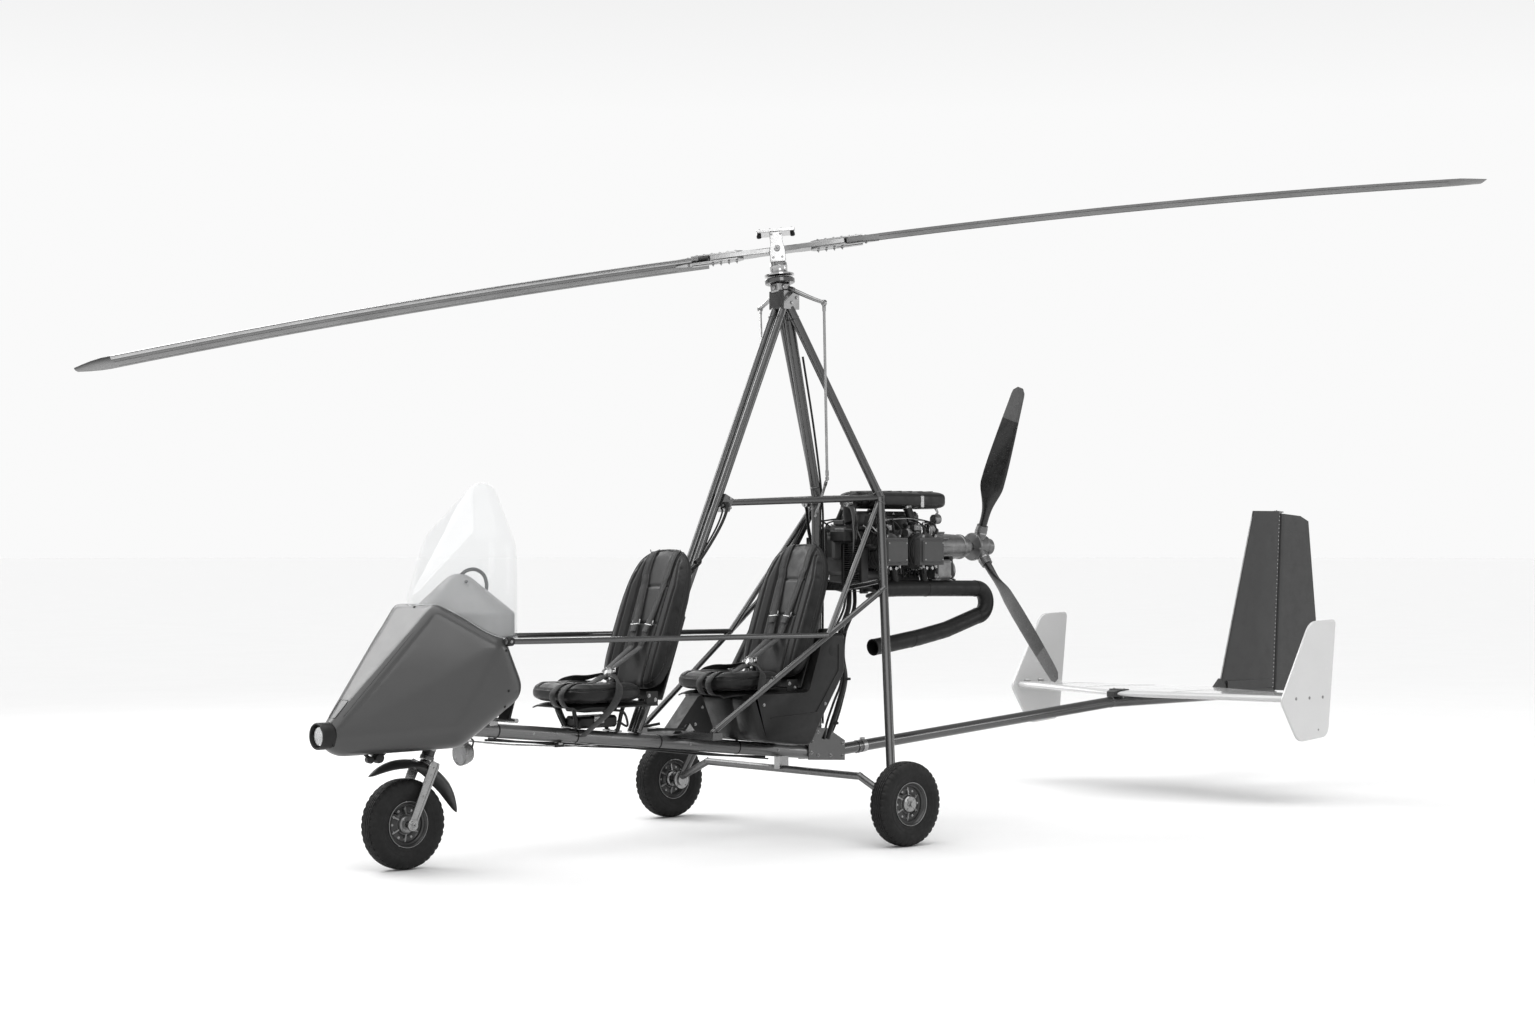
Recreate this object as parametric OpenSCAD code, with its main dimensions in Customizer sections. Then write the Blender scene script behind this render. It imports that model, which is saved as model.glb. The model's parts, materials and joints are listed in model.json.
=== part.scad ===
// Two-seat open gyrocopter, millimetres.
// +X is forward, +Y is left, +Z is up, and the ground is Z = 0.
// Every module is drawn from the main axle (X = 0 there) and place() moves it to the part's origin.

/* [Whole machine] */
// Nose lamp's front, ahead of the main axle
nose_x = 2700; // [2500:10:2900]
// Rudder's rear edge, behind the main axle
tail_x = 4420; // [4200:10:4700]
// Nose wheel's axle, ahead of the main axle
wheelbase = 2250; // [2150:10:2350]
// Distance between the main wheels' middle planes
track = 1733; // [1600:1:1900]

/* [Wheels] */
// Tyre's outside diameter
tyre_d = 400; // [380:5:420]
// Tyre's width
tyre_w = 105; // [80:1:120]
// Rim's diameter where the tyre seats
rim_d = 206; // [170:2:220]
// Rim's width between its flanges
rim_w = 88; // [70:1:100]
// Stub axle's diameter
axle_d = 25; // [16:1:32]
// Radial running clearance of an axle in its hub
axle_gap = 0.05; // [0.03:0.01:0.1]

/* [Frame tubes] */
// Keel tube's diameter
keel_d = 66; // [50:1:76]
// Keel's centre height above the main axle
keel_z0 = 399; // [380:1:420]
// Keel's slope, up towards the nose, in degrees
keel_slope = 6.03; // [4:0.01:8]
// Keel's rear end, behind the main axle
keel_rear = 262; // [230:1:300]
// Tail boom's diameter
boom_d = 60; // [50:1:70]
// Tail boom's slope, up towards the tail, in degrees
boom_slope = 4.1; // [3:0.1:5]
// Where the tail boom turns level, behind the main axle
boom_bend = 2500; // [2300:10:2600]
// Tail boom's rear end
boom_rear = 3960; // [3850:10:3980]
// Diameter of the two tubes of the front mast
mast_d = 38; // [30:1:45]
// Diameter of the rear mast post
post_d = 50; // [40:1:60]
// Diameter of the bent main legs
leg_d = 44; // [36:1:50]
// Diameter of the upper frame's tubes
upper_d = 32; // [25:1:40]
// Diameter of the braces and the side rails
brace_d = 28; // [20:1:34]
// Diameter of the arched cross axle
arch_d = 36; // [28:1:44]

/* [Rotor] */
// Rotor disc's radius
rotor_r = 3540; // [3300:10:3560]
// Blade chord
blade_chord = 215; // [180:5:240]
// How far a blade's tip hangs below its root
blade_droop = 120; // [60:1:200]
// Parked tilt of the rotor's axis, to the right, in degrees
rotor_tilt = 7.5; // [0:0.5:9]
// Parked teeter of the hub bar, front blade down, in degrees
rotor_teeter = 2.6; // [0:0.1:4]
// Blade pitch, leading edge up, in degrees
blade_pitch = 4.5; // [2:0.5:6]
// Angle at which the blades are parked, from straight ahead
rotor_park = -42; // [-90:1:90]
// Rotor gimbal's height
gimbal_z = 2723; // [2650:1:2800]
// Height of the teeter pin above the gimbal
gimbal_h = 162; // [150:1:180]
// Teeter pin's diameter
teeter_d = 16; // [12:1:20]

/* [Propeller and engine] */
// Propeller's radius
prop_r = 895; // [800:5:900]
// Propeller shaft's height
prop_z = 1406; // [1395:1:1440]
// Propeller's plane, behind the main axle
prop_x = 1412; // [1400:1:1450]
// Angle of the first propeller blade from upright
prop_park = 20.9; // [0:0.1:120]
// Propeller shaft's diameter
shaft_d = 40; // [30:1:50]

/* [Cabin] */
// Pod's greatest half width
pod_half_w = 335; // [300:5:360]
// Pod shell's thickness
pod_wall = 8; // [6:0.5:12]
// Windshield's thickness
screen_t = 4; // [3:0.5:6]
// Seat cushion's width
seat_w = 440; // [380:5:480]
// Seat back's width
back_w = 500; // [440:5:520]
// Seat back's length, from the pan to its rounded top
back_len = 760; // [640:5:790]
// Seat cushion's thickness
cushion_t = 90; // [70:1:110]
// Seat back's thickness
back_t = 70; // [60:1:80]
// Seat shell's thickness
shell_t = 10; // [6:1:16]

/* [Tail] */
// Half the stabiliser's span
stab_half = 972; // [900:1:1050]
// Stabiliser's greatest thickness
stab_t = 36; // [30:1:42]
// End plate's thickness
end_plate_t = 18; // [12:1:24]
// Fin's thickness
fin_t = 44; // [36:1:56]
// Rudder's height
rudder_h = 1060; // [1000:5:1080]

/* [Hidden] */
$fn = 48;

axle_x = (tail_x - nose_x) / 2;
wheel_z = tyre_d / 2;
wheel_y = track / 2;
fabric_gap = 0.3;
running_gap = 6;
soft = 30;
weld_extra = 2;

// Mast corners, where the main legs bend
corner = [-461, 231, 1655];
apex = [-20, 0, 2625];
leg_top = [-24, 34, 2600];
leg_foot = [0, wheel_y - tyre_w / 2 - 34, wheel_z];
post_foot = [-240, 0, keel_z(-240) + keel_d / 2];
post_top = [-40, 0, 2600];
post_bend = [-240, 0, 1659];
mast_foot = [943, 24, keel_z(943) + keel_d / 2 + 2];
mast_top = [10, 30, 2600];
brace_top = [-316, 412, 1208];
brace_foot = [680, 260, keel_z(680) + keel_d / 2 + 30];
brace_node = brace_top + (brace_foot - brace_top) * 0.337;
rail_front = [1940, 322, 1000];

lamp_z = 606;
lamp_d = 118;

// Nose gear
steer_pivot = [2118, 0, 500];
steer_rake = 20;
neck_d = 46;
fork_half = tyre_w / 2 + 16;
fork_t = 10;
fender_r = tyre_d / 2 + 84;

// Rotor head, drawn about the teeter pin
head = [9, 0, gimbal_z] + gimbal_h * [0, -sin(rotor_tilt), cos(rotor_tilt)];
tower_r = 43;
tower_low = -132;
cheek_gap = 104;
hub_bar_t = 26.4;
hub_bar_l = 690;

rod_knee = [-200, 120, 1750];

// Seats: foot of the back, at the cushion's rear
front_seat = [1030, 0, 690];
rear_seat = [142, 0, 712];
seat_recline = 20;
cushion_l = 440;

// Tail
hinge_low = [-4001, 0, 539];
hinge_lean = 3.8;
hinge_rod_d = 12;
rudder_nose = 20;

function keel_z(x) = keel_z0 + x * tan(keel_slope);
boom_front = [-keel_rear - 2, 0, keel_z(-keel_rear)];
boom_knee = boom_front + (boom_bend - keel_rear) * [-1, 0, tan(boom_slope)];
stab_z = boom_knee.z + boom_d / 2 + stab_t / 2 - 1;
keel_front = steer_pivot.x - (keel_z(2074) - steer_pivot.z) * tan(steer_rake) - neck_d / 2 + 6;

module place() {
    translate([axle_x, 0, 0]) children();
}

// A round bar from a to b
module rod(a, b, d) {
    v = b - a;
    l = norm(v);
    translate(a)
        rotate([0, acos(v.z / l), atan2(v.y, v.x)])
            cylinder(h = l, d = d);
}

// A weld ball, a little wider than the bars that meet in it
module weld(p, d) {
    translate(p) sphere(d = d + weld_extra);
}

module both_sides() {
    children();
    mirror([0, 1, 0]) children();
}

// Flat plate drawn in the X-Z plane, centred on y
module side_plate(points, y, t) {
    translate([0, y + t / 2, 0])
        rotate([90, 0, 0])
            linear_extrude(height = t) polygon(points);
}

module keel() color("silver") place() {
    rod([-keel_rear, 0, keel_z(-keel_rear)], [keel_front, 0, keel_z(keel_front)], keel_d);
}

module tail_boom() color("dimgray") place() {
    rod(boom_front, boom_knee, boom_d);
    weld(boom_knee, boom_d);
    rod(boom_knee, [-boom_rear, 0, boom_knee.z], boom_d);
}

module keel_end_plates() color("dimgray") place() {
    plate_t = 6;
    outline = [[-400, 330], [-150, 345], [-150, 470], [-205, 500], [-275, 500], [-400, 430]];
    both_sides()
        side_plate(outline, keel_d / 2 + plate_t / 2, plate_t);
}

module front_mast() color("dimgray") place() {
    both_sides() rod(mast_foot, mast_top, mast_d);
}

module rear_mast_post() color("dimgray") place() {
    rod(post_foot, post_bend, post_d);
    weld(post_bend, post_d);
    rod(post_bend, post_top, post_d);
}

module mast_head() color("dimgray") place() {
    translate([apex.x, 0, apex.z])
        difference() {
            translate([-52, -54, -35]) cube([104, 108, 90]);
            translate([0, 0, 40]) cube([70, 60, 42], center = true);
        }
}

module mast_bracket() color("dimgray") place() {
    translate([404, 0, 1624])
        rotate([0, -25, 0])
            cube([60, 110, 70], center = true);
}

module main_leg() {
    rod(leg_top, corner, leg_d);
    weld(corner, leg_d);
    rod(corner, leg_foot, leg_d);
}

module left_main_leg() color("dimgray") place() main_leg();

module right_main_leg() color("dimgray") place() mirror([0, 1, 0]) main_leg();

module upper_frame() color("dimgray") place() {
    collar_y = corner.y * (404 - post_bend.x) / (404 - corner.x);
    rod([corner.x, -corner.y, corner.z], corner, upper_d);
    rod([post_bend.x, -collar_y, 1647], [post_bend.x, collar_y, 1647], upper_d - 4);
    both_sides() {
        weld(corner, upper_d);
        rod([404, 20, 1624], corner, upper_d);
    }
}

module mast_braces() color("dimgray") place() both_sides() {
    rod(brace_top, brace_foot, brace_d);
    weld(brace_node, brace_d);
    rod(corner, brace_node, brace_d);
}

module side_rails() color("dimgray") place() both_sides() {
    rod(brace_node, rail_front, brace_d - 2);
}

module seat_crossbar() color("dimgray") place() {
    bar_low = keel_z(680) + keel_d / 2 - 3;
    difference() {
        translate([650, -300, bar_low]) cube([60, 600, 34]);
        for (y = [-220, -140, 140, 220])
            translate([680, y, bar_low - 1]) cylinder(h = 40, d = 26);
    }
}

module cross_axle() color("silver") place() {
    arch_z = 308;
    bend_y = 560;
    rod([0, -bend_y, arch_z], [0, bend_y, arch_z], arch_d);
    both_sides() {
        weld([0, bend_y, arch_z], arch_d);
        rod([0, bend_y, arch_z], [0, leg_foot.y - 4, wheel_z + 12], arch_d);
    }
}

module axle_bracket() color("gray") place() {
    arch_z = 308;
    difference() {
        translate([-30, -20, arch_z]) cube([60, 40, keel_z0 - arch_z - keel_d / 2 + 6]);
        translate([0, 30, arch_z]) rotate([90, 0, 0]) cylinder(h = 60, d = arch_d);
    }
}

module stub_axles() color("gray") place() both_sides() {
    translate([0, leg_foot.y - 26, wheel_z]) rotate([-90, 0, 0]) {
        cylinder(h = 52, d = 58);
        cylinder(h = tyre_w + 60, d = axle_d);
    }
}

// A tyre lying on the X-Z plane, with its axle along Y
module tyre() {
    shoulder = 34;
    tread_r = tyre_d / 2;
    rotate([90, 0, 0])
        rotate_extrude($fn = 96)
            union() {
                translate([tread_r - shoulder, 0])
                    intersection() {
                        translate([-80, -tyre_w / 2]) square([80 + shoulder, tyre_w]);
                        translate([-20, 0]) tyre_section(tyre_w, shoulder);
                    }
            }
}

// Tread and sidewall section, with its inside edge on the rim
module tyre_section(w, s) {
    seat = rim_d / 2 - (tyre_d / 2 - s) + 20;
    polygon(concat(
        [[seat, -w / 2 + 14], [seat, w / 2 - 14]],
        [for (a = [90 : -10 : -90]) [
            20 + s * pow(cos(a), 0.55) + (abs(a) > 80 ? -6 : 0),
            w / 2 * sign(sin(a)) * pow(abs(sin(a)), 0.8)]]));
}

module rim() {
    flange_r = rim_d / 2 + 9;
    rotate([90, 0, 0])
        rotate_extrude($fn = 96)
            polygon([
                [axle_d / 2 + axle_gap, -rim_w / 2 + 4],
                [36, -rim_w / 2 + 4],
                [40, -10],
                [rim_d / 2 - 14, -8],
                [rim_d / 2 - 12, -rim_w / 2 + 4],
                [rim_d / 2, -rim_w / 2 + 0],
                [rim_d / 2, rim_w / 2 - 0],
                [rim_d / 2 - 12, rim_w / 2 - 4],
                [rim_d / 2 - 14, 8],
                [40, 10],
                [36, rim_w / 2 - 4],
                [axle_d / 2 + axle_gap, rim_w / 2 - 4]]);
}

module left_tyre() color("black") place() translate([0, wheel_y, wheel_z]) tyre();

module left_rim() color("lightgray") place() translate([0, wheel_y, wheel_z]) rim();

module right_tyre() color("black") place() translate([0, -wheel_y, wheel_z]) tyre();

module right_rim() color("lightgray") place() translate([0, -wheel_y, wheel_z]) rim();

module nose_tyre() color("black") place() translate([wheelbase, 0, wheel_z]) tyre();

module nose_rim() color("lightgray") place() translate([wheelbase, 0, wheel_z]) rim();

// Drawn with the steering axis as its own Z
module at_steering() {
    translate(steer_pivot) rotate([0, -steer_rake, 0]) children();
}

module steering_neck() color("gray") place() at_steering() {
    difference() {
        translate([0, 0, -28]) cylinder(h = 190, d = neck_d + 18);
        translate([0, 0, -40]) cylinder(h = 220, d = neck_d - 16 + 0.1);
    }
}

// Steering height of the fork's crown, below the pivot
crown_z = -58;

module nose_fork() color("lightgray") place() {
    crown = steer_pivot + [-sin(steer_rake), 0, cos(steer_rake)] * (crown_z + 8);
    at_steering() {
        translate([0, 0, crown_z + 2]) cylinder(h = 190, d = neck_d - 16);
        translate([-26, -fork_half - 1, crown_z]) cube([52, 2 * fork_half + 2, 16]);
    }
    both_sides() {
        side_plate([[crown.x - 24, crown.z + 18], [crown.x + 26, crown.z + 26],
            [wheelbase + 26, wheel_z + 4], [wheelbase + 12, wheel_z - 24],
            [wheelbase - 12, wheel_z - 24], [wheelbase - 27, wheel_z + 4]],
            fork_half + fork_t / 2, fork_t);
    }
    translate([wheelbase, -fork_half - fork_t - 8, wheel_z])
        rotate([-90, 0, 0])
            cylinder(h = 2 * (fork_half + fork_t + 8), d = axle_d);
}

module nose_fender() color("dimgray") place() {
    fender_w = 2 * fork_half - 0.4;
    half = fender_w / 2;
    difference() {
        translate([wheelbase, 0, wheel_z]) rotate([90, 0, 0]) rotate([0, 0, 50])
            rotate_extrude(angle = 124, $fn = 96)
                polygon([[fender_r - 30, -half], [fender_r - 8, -half], [fender_r, -half + 12],
                    [fender_r, half - 12], [fender_r - 8, half], [fender_r - 30, half],
                    [fender_r - 30, half - 3], [fender_r - 10, half - 4], [fender_r - 4, half - 14],
                    [fender_r - 4, -half + 14], [fender_r - 10, -half + 4], [fender_r - 30, -half + 3]]);
        at_steering() translate([-26 - fabric_gap, -80, crown_z - fabric_gap])
            cube([52 + 2 * fabric_gap, 160, 60]);
    }
}

// The pod's smooth body, shrunk inwards by inset
module pod_body(inset) {
    hull() {
        translate([2556, 0, 600]) scale_ball(112 - inset, 82 - inset, 88 - inset);
        both_sides() {
            translate([2172, 130, 1115]) sphere(r = 50 - inset, $fn = 32);
            translate([2130, 190, 640]) sphere(r = 105 - inset, $fn = 32);
            translate([1960, pod_half_w - 70, 962]) sphere(r = 70 - inset, $fn = 32);
            translate([1905, pod_half_w - 100, 800]) sphere(r = 100 - inset, $fn = 32);
        }
    }
}

module scale_ball(x, y, z) {
    r = min(x, y, z);
    hull() {
        translate([x - r, 0, 0]) sphere(r = r, $fn = 32);
        translate([r - x, 0, 0]) sphere(r = r, $fn = 32);
        translate([0, 0, z - r]) sphere(r = r, $fn = 32);
    }
}

module pod_shell() color("dimgray") place() {
    difference() {
        pod_body(0);
        pod_body(pod_wall);
        side_plate([[1500, 400], [1960, 400], [1905, 680], [1850, 745], [1832, 810], [1850, 870],
            [1895, 937], [1935, 1000], [1935, 1300], [1500, 1300]], 0, 900);
        translate([1900, -235, 1020]) cube([215, 470, 300]);
        translate([2050, -60, 480]) cube([180, 120, 170]);
        translate([1800, -44, 500]) cube([300, 88, 190]);
        translate([nose_x - 70, 0, lamp_z]) rotate([0, 90, 0]) cylinder(h = 80, d = lamp_d - 2);
    }
}

// The space under the windshield, shrunk inwards by inset
module screen_body(inset) {
    hull() {
        translate([2052, 0, 985]) cylinder(h = 215, r = 150 - inset, $fn = 32);
        both_sides() translate([1925, 160, 985]) cylinder(h = 215, r = 145 - inset, $fn = 32);
        both_sides() translate([1900, 145, 1400]) sphere(r = 130 - inset, $fn = 32);
        translate([1830, 0, 1630]) sphere(r = 78 - inset, $fn = 32);
    }
}

module windshield() color("lightblue", 0.4) place() {
    difference() {
        screen_body(0);
        screen_body(screen_t);
        side_plate([[1400, 900], [1942, 900], [1925, 1050], [1776, 1760], [1400, 1760]], 0, 900);
        pod_body(-fabric_gap);
    }
}

module cowl_body() {
    inset = screen_t + 6;
    hull() {
        translate([2052, 0, 985]) cylinder(h = 140, r = 150 - inset, $fn = 32);
        both_sides() translate([1925, 160, 985]) cylinder(h = 140, r = 145 - inset, $fn = 32);
        both_sides() translate([1945, 85, 1165]) sphere(r = 85, $fn = 32);
        translate([1952, 0, 1205]) sphere(r = 92, $fn = 32);
    }
}

module instrument_cowl() color("dimgray") place() {
    difference() {
        cowl_body();
        pod_body(-fabric_gap);
        translate([1500, -300, 900]) cube([435, 600, 500]);
        translate([1900, -150, 1000]) cube([130, 300, 150]);
    }
}

module lamps() color("silver") place() {
    translate([nose_x - 62, 0, lamp_z]) rotate([0, 90, 0]) {
        cylinder(h = 50, d = lamp_d);
        translate([0, 0, 50]) cylinder(h = 12, d1 = lamp_d - 6, d2 = lamp_d - 30);
    }
    translate([1896, 0, 492]) {
        rotate([0, 90, 0]) cylinder(h = 60, d = 112);
        translate([10, -14, 40]) cube([30, 28, keel_z(1906) - keel_d / 2 - 492 - 38]);
    }
}

// Drawn from the foot of a seat's back, with the back's height as Z
module at_seat_back(at) {
    translate([at.x - back_t - 14, 0, at.z - fabric_gap])
        rotate([0, -seat_recline, 0]) children();
}

// A seat shell: a pan and a back, in one bent sheet
module seat_shell(at) {
    up = [-sin(seat_recline), cos(seat_recline)];
    out = [-cos(seat_recline), -sin(seat_recline)];
    foot = [at.x - back_t - 14, at.z - fabric_gap];
    front = at.x + cushion_l - 34;
    side_plate([[front, foot.y - shell_t], [front, foot.y], foot, foot + up * (back_len - 160),
        foot + up * (back_len - 160) + out * shell_t, foot + out * shell_t + up * 4,
        [foot.x - 6, foot.y - shell_t]], 0, seat_w - 30);
}

module seat_stand(at, front, rear) {
    foot_l = keel_z(at.x + rear) + keel_d / 2 - 1;
    top = at.z - shell_t - fabric_gap;
    side_plate([[at.x + rear, foot_l], [at.x + front, foot_l + (front - rear) * tan(keel_slope)],
        [at.x + front + 10, top], [at.x + rear - 10, top]], 0, 130);
}

module front_seat_shell() color("dimgray") place() {
    seat_shell(front_seat);
    seat_stand(front_seat, 300, 40);
}

module rear_seat_shell() color("dimgray") place() seat_shell(rear_seat);

module soft_block(size, r) {
    hull()
        for (x = [r, size.x - r], y = [-size.y / 2 + r, size.y / 2 - r], z = [r, size.z - r])
            translate([x, y, z]) sphere(r = r, $fn = 20);
}

module seat_cushion(at) {
    difference() {
        translate([at.x - 24, 0, at.z]) soft_block([cushion_l, seat_w, cushion_t], soft);
        at_seat_back(at)
            translate([-200, -seat_w, -100]) cube([200 + back_t + 2 * fabric_gap, 2 * seat_w, 400]);
    }
}

module seat_back(at) {
    arch_r = 150;
    at_seat_back(at)
        translate([fabric_gap, 0, 34]) hull() {
            for (x = [soft, back_t - soft], y = [-1, 1])
                translate([x, y * (back_w / 2 - soft), soft]) sphere(r = soft, $fn = 20);
            for (y = [-1, 1])
                translate([10, y * (back_w / 2 - arch_r - 15), back_len - 34 - arch_r])
                    rotate([0, 90, 0]) cylinder(h = back_t - 20, r = arch_r, $fn = 40);
        }
}

module front_seat_cushion() color("darkslategray") place() seat_cushion(front_seat);

module rear_seat_cushion() color("darkslategray") place() seat_cushion(rear_seat);

module front_seat_back() color("darkslategray") place() seat_back(front_seat);

module rear_seat_back() color("darkslategray") place() seat_back(rear_seat);

module fuel_tank() color("black") place() {
    tank_half = 255;
    top = rear_seat.z - shell_t - 2 * fabric_gap;
    lean = tan(seat_recline);
    back_x = rear_seat.x - back_t - 14 - shell_t - 8;
    rear_x = post_foot.x + post_d / 2 + 10;
    translate([0, tank_half, 0]) rotate([90, 0, 0]) linear_extrude(height = 2 * tank_half)
        polygon([[rear_x, 800], [-40, 560], [30, tank_foot(30)],
            [330, tank_foot(330)], [370, tank_foot(330) + 30], [430, top - 30], [410, top],
            [back_x, top], [back_x - 290 * lean, top + 290], [rear_x, top + 290]]);
}

function tank_foot(x) = keel_z(x) + keel_d / 2 + 0.5;

module engine() color("dimgray") place() {
    translate([-930, -105, 1215]) cube([560, 210, 310]);
    for (x = [-780, -520], s = [-1, 1])
        translate([x, s * 100, 1385]) rotate([-90 * s, 0, 0]) {
            cylinder(h = 150, d = 190);
            translate([-88, -70, 145]) cube([176, 140, 56]);
        }
    translate([-930, 0, prop_z]) rotate([0, -90, 0]) {
        cylinder(h = 230, d = 210);
        cylinder(h = prop_x - 930 + 60, d = shaft_d);
    }
}

module engine_mount() color("gray") place() {
    ring_x = post_foot.x - post_d / 2;
    translate([ring_x - 22, -190, 1190]) cube([22, 380, 34]);
    translate([ring_x - 22, -30, 1190]) cube([22, 60, 320]);
    both_sides() rod([ring_x - 12, 150, 1207], [-900, 70, 1201], 30);
    both_sides() rod([ring_x - 12, 175, 1207], [-300, 380, 1240], 26);
    translate([-369.9, -80, 1340]) cube([369.9 + ring_x - 20, 160, 120]);
}

module airbox() color("silver") place() {
    translate([-1050, -150, 1600]) cube([540, 300, 95]);
    for (x = [-760, -560], s = [-1, 1])
        rod([x, s * 120, 1640], [x + 10, s * 172, 1474], 44);
}

module exhaust() color("black") place() {
    pipe_d = 84;
    pipe_y = 215;
    bend_r = 72;
    turn_x = -1180;
    turn_z = 1118;
    rod([turn_x, pipe_y, turn_z + bend_r], [-560, pipe_y, turn_z + bend_r + 10], pipe_d);
    translate([turn_x, pipe_y, turn_z]) rotate([90, 0, 0]) rotate([0, 0, 90])
        rotate_extrude(angle = 180, $fn = 64) translate([bend_r, 0]) circle(d = pipe_d);
    rod([turn_x, pipe_y, turn_z - bend_r], [-430, pipe_y, 905], pipe_d);
    for (x = [-580, -790])
        rod([x, pipe_y, turn_z + bend_r + 10], [x + 20, pipe_y - 20, 1296], 40);
    for (z = [-bend_r, bend_r])
        translate([turn_x - 12, pipe_y, turn_z + z]) rotate([0, 90, 0]) cylinder(h = 30, d = pipe_d + 8);
}

module propeller_hub() color("lightgray") place() {
    translate([-prop_x, 0, prop_z]) rotate([0, -90, 0]) difference() {
        union() {
            translate([0, 0, -42]) cylinder(h = 84, d = 150);
            cylinder(h = 52, d = 110);
            for (a = [0 : 120 : 240])
                rotate([0, 0, prop_park + a]) translate([50, 0, 0])
                    rotate([0, 90, 0]) cylinder(h = 72, d = 66);
        }
        translate([0, 0, -50]) cylinder(h = 140, r = shaft_d / 2 + axle_gap);
    }
}

module propeller_blades() color("black") place() {
    translate([-prop_x, 0, prop_z])
        for (a = [0 : 120 : 240])
            rotate([-prop_park - a, 0, 0]) hull() {
                translate([0, 0, 122]) cylinder(h = 5, d = 44, $fn = 32);
                translate([0, 0, 420]) rotate([0, 0, -62]) thin_section(132, 17);
                translate([0, 0, prop_r - 60]) rotate([0, 0, -78]) thin_section(86, 9);
                translate([0, 0, prop_r - 5]) rotate([0, 0, -80]) thin_section(40, 6);
            }
}

module thin_section(chord, t) {
    for (s = [-1, 1])
        translate([s * (chord - t) / 2, 0, 0]) cylinder(h = 5, d = t, $fn = 16);
}

// Drawn with the rotor's axis as Z and the teeter pin at the origin
module at_head() {
    translate(head) rotate([rotor_tilt, 0, 0]) children();
}

module rotor_head() color("gray") place() {
    at_head() {
        translate([0, 0, -168]) cylinder(h = 30, d = 150);
        translate([0, 0, -180]) cylinder(h = 130, d = 40);
        translate([-45, -32, -212]) cube([90, 64, 46]);
    }
}

module control_rods() color("gray") place() {
    arm_tip = [-70, 235, 2612];
    both_sides() {
        rod([-20, 31, 2695], arm_tip, 22);
        weld(arm_tip, 30);
    }
    rod([-205, 30, 1560], rod_knee, 14);
    weld(rod_knee, 16);
    rod(rod_knee, arm_tip, 14);
    rod([60, -80, 2400], [arm_tip.x, -arm_tip.y, arm_tip.z], 14);
    rod([60, -80, 2400], [84, -30, 2380], 14);
    weld([60, -80, 2400], 16);
}

module rotor_tower() color("lightgray") place() at_head() rotate([0, 0, rotor_park]) {
    difference() {
        union() {
            translate([0, 0, tower_low]) cylinder(h = 12, d = 148);
            translate([0, 0, tower_low]) cylinder(h = 72, r = tower_r);
            both_sides() {
                translate([-38, cheek_gap / 2, -62]) cube([76, 12, 150]);
                translate([-38, 0, -66]) cube([76, cheek_gap / 2 + 12, 12]);
            }
            translate([-95, -cheek_gap / 2 - 12, 84]) cube([190, cheek_gap + 24, 16]);
        }
        translate([0, 0, tower_low - 1]) cylinder(h = 90, r = 20 + axle_gap);
        rotate([90, 0, 0]) cylinder(h = 200, r = teeter_d / 2, center = true);
    }
}

// Drawn with the hub bar along X, as it is parked
module at_bar() {
    at_head() rotate([0, 0, rotor_park]) rotate([0, rotor_teeter, 0]) children();
}

module hub_bar() color("lightgray") place() at_bar() {
    translate([-hub_bar_l / 2, -47, -hub_bar_t / 2]) cube([hub_bar_l, 94, hub_bar_t]);
    rotate([90, 0, 0]) cylinder(h = cheek_gap + 24, d = teeter_d - 2 * axle_gap, center = true);
    for (s = [-1, 1], z = [hub_bar_t / 2, -hub_bar_t / 2 - 8])
        translate([s * 300 - 130, -40, z]) cube([260, 80, 8]);
}

// Half of a smooth symmetrical section, nose at x = 0
function section_y(x, chord, t) =
    5 * t * (0.2969 * sqrt(x) - 0.126 * x - 0.3516 * x * x + 0.2843 * pow(x, 3) - 0.1015 * pow(x, 4));
function section(chord, t, n) = concat(
    [for (i = [0 : n]) let (x = pow(i / n, 2)) [x * chord, section_y(x, chord, t)]],
    [for (i = [n : -1 : 1]) let (x = pow(i / n, 2)) [x * chord, -section_y(x, chord, t) - 0.2]]);

module rotor_blades() color("gray") place() at_bar()
    for (s = [0, 180]) rotate([0, 0, s]) {
        span = rotor_r - hub_bar_l / 2;
        curve_r = span * span / 2 / blade_droop;
        translate([hub_bar_l / 2 + fabric_gap, 0, 0])
            rotate([blade_pitch, 0, 0])
                translate([0, blade_chord * 0.25, 0])
                    mirror([0, 1, 0])
                        rotate(a = -120, v = [1, 1, 1])
                            translate([-curve_r, 0, 0])
                                rotate_extrude(angle = span / curve_r * 180 / PI, $fn = 720)
                                    translate([curve_r, 0]) rotate(90) section_flat();
    }

module section_flat() {
    polygon(section(blade_chord, 26, 14));
}

module stab_half() {
    tip_y = stab_half;
    hull() {
        rod([-2522, 0, stab_z], [-2806, tip_y, stab_z], 18);
        rod([-2800, 0, stab_z], [-2900, tip_y, stab_z], stab_t);
        rod([-3398, 0, stab_z], [-3150, tip_y, stab_z], 7);
    }
}

module stabiliser() color("white") place() intersection() {
    both_sides() stab_half();
    translate([-4000, -stab_half, 0]) cube([2000, 2 * stab_half, 2000]);
}

module end_plates() color("white") place() both_sides() {
    side_plate([[-2750, 567], [-2901, 340], [-3174, 362], [-3249, 1004], [-3011, 998]],
        stab_half + end_plate_t / 2, end_plate_t);
}

fin_foot = boom_knee.z + boom_d / 2 - 5;

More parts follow.
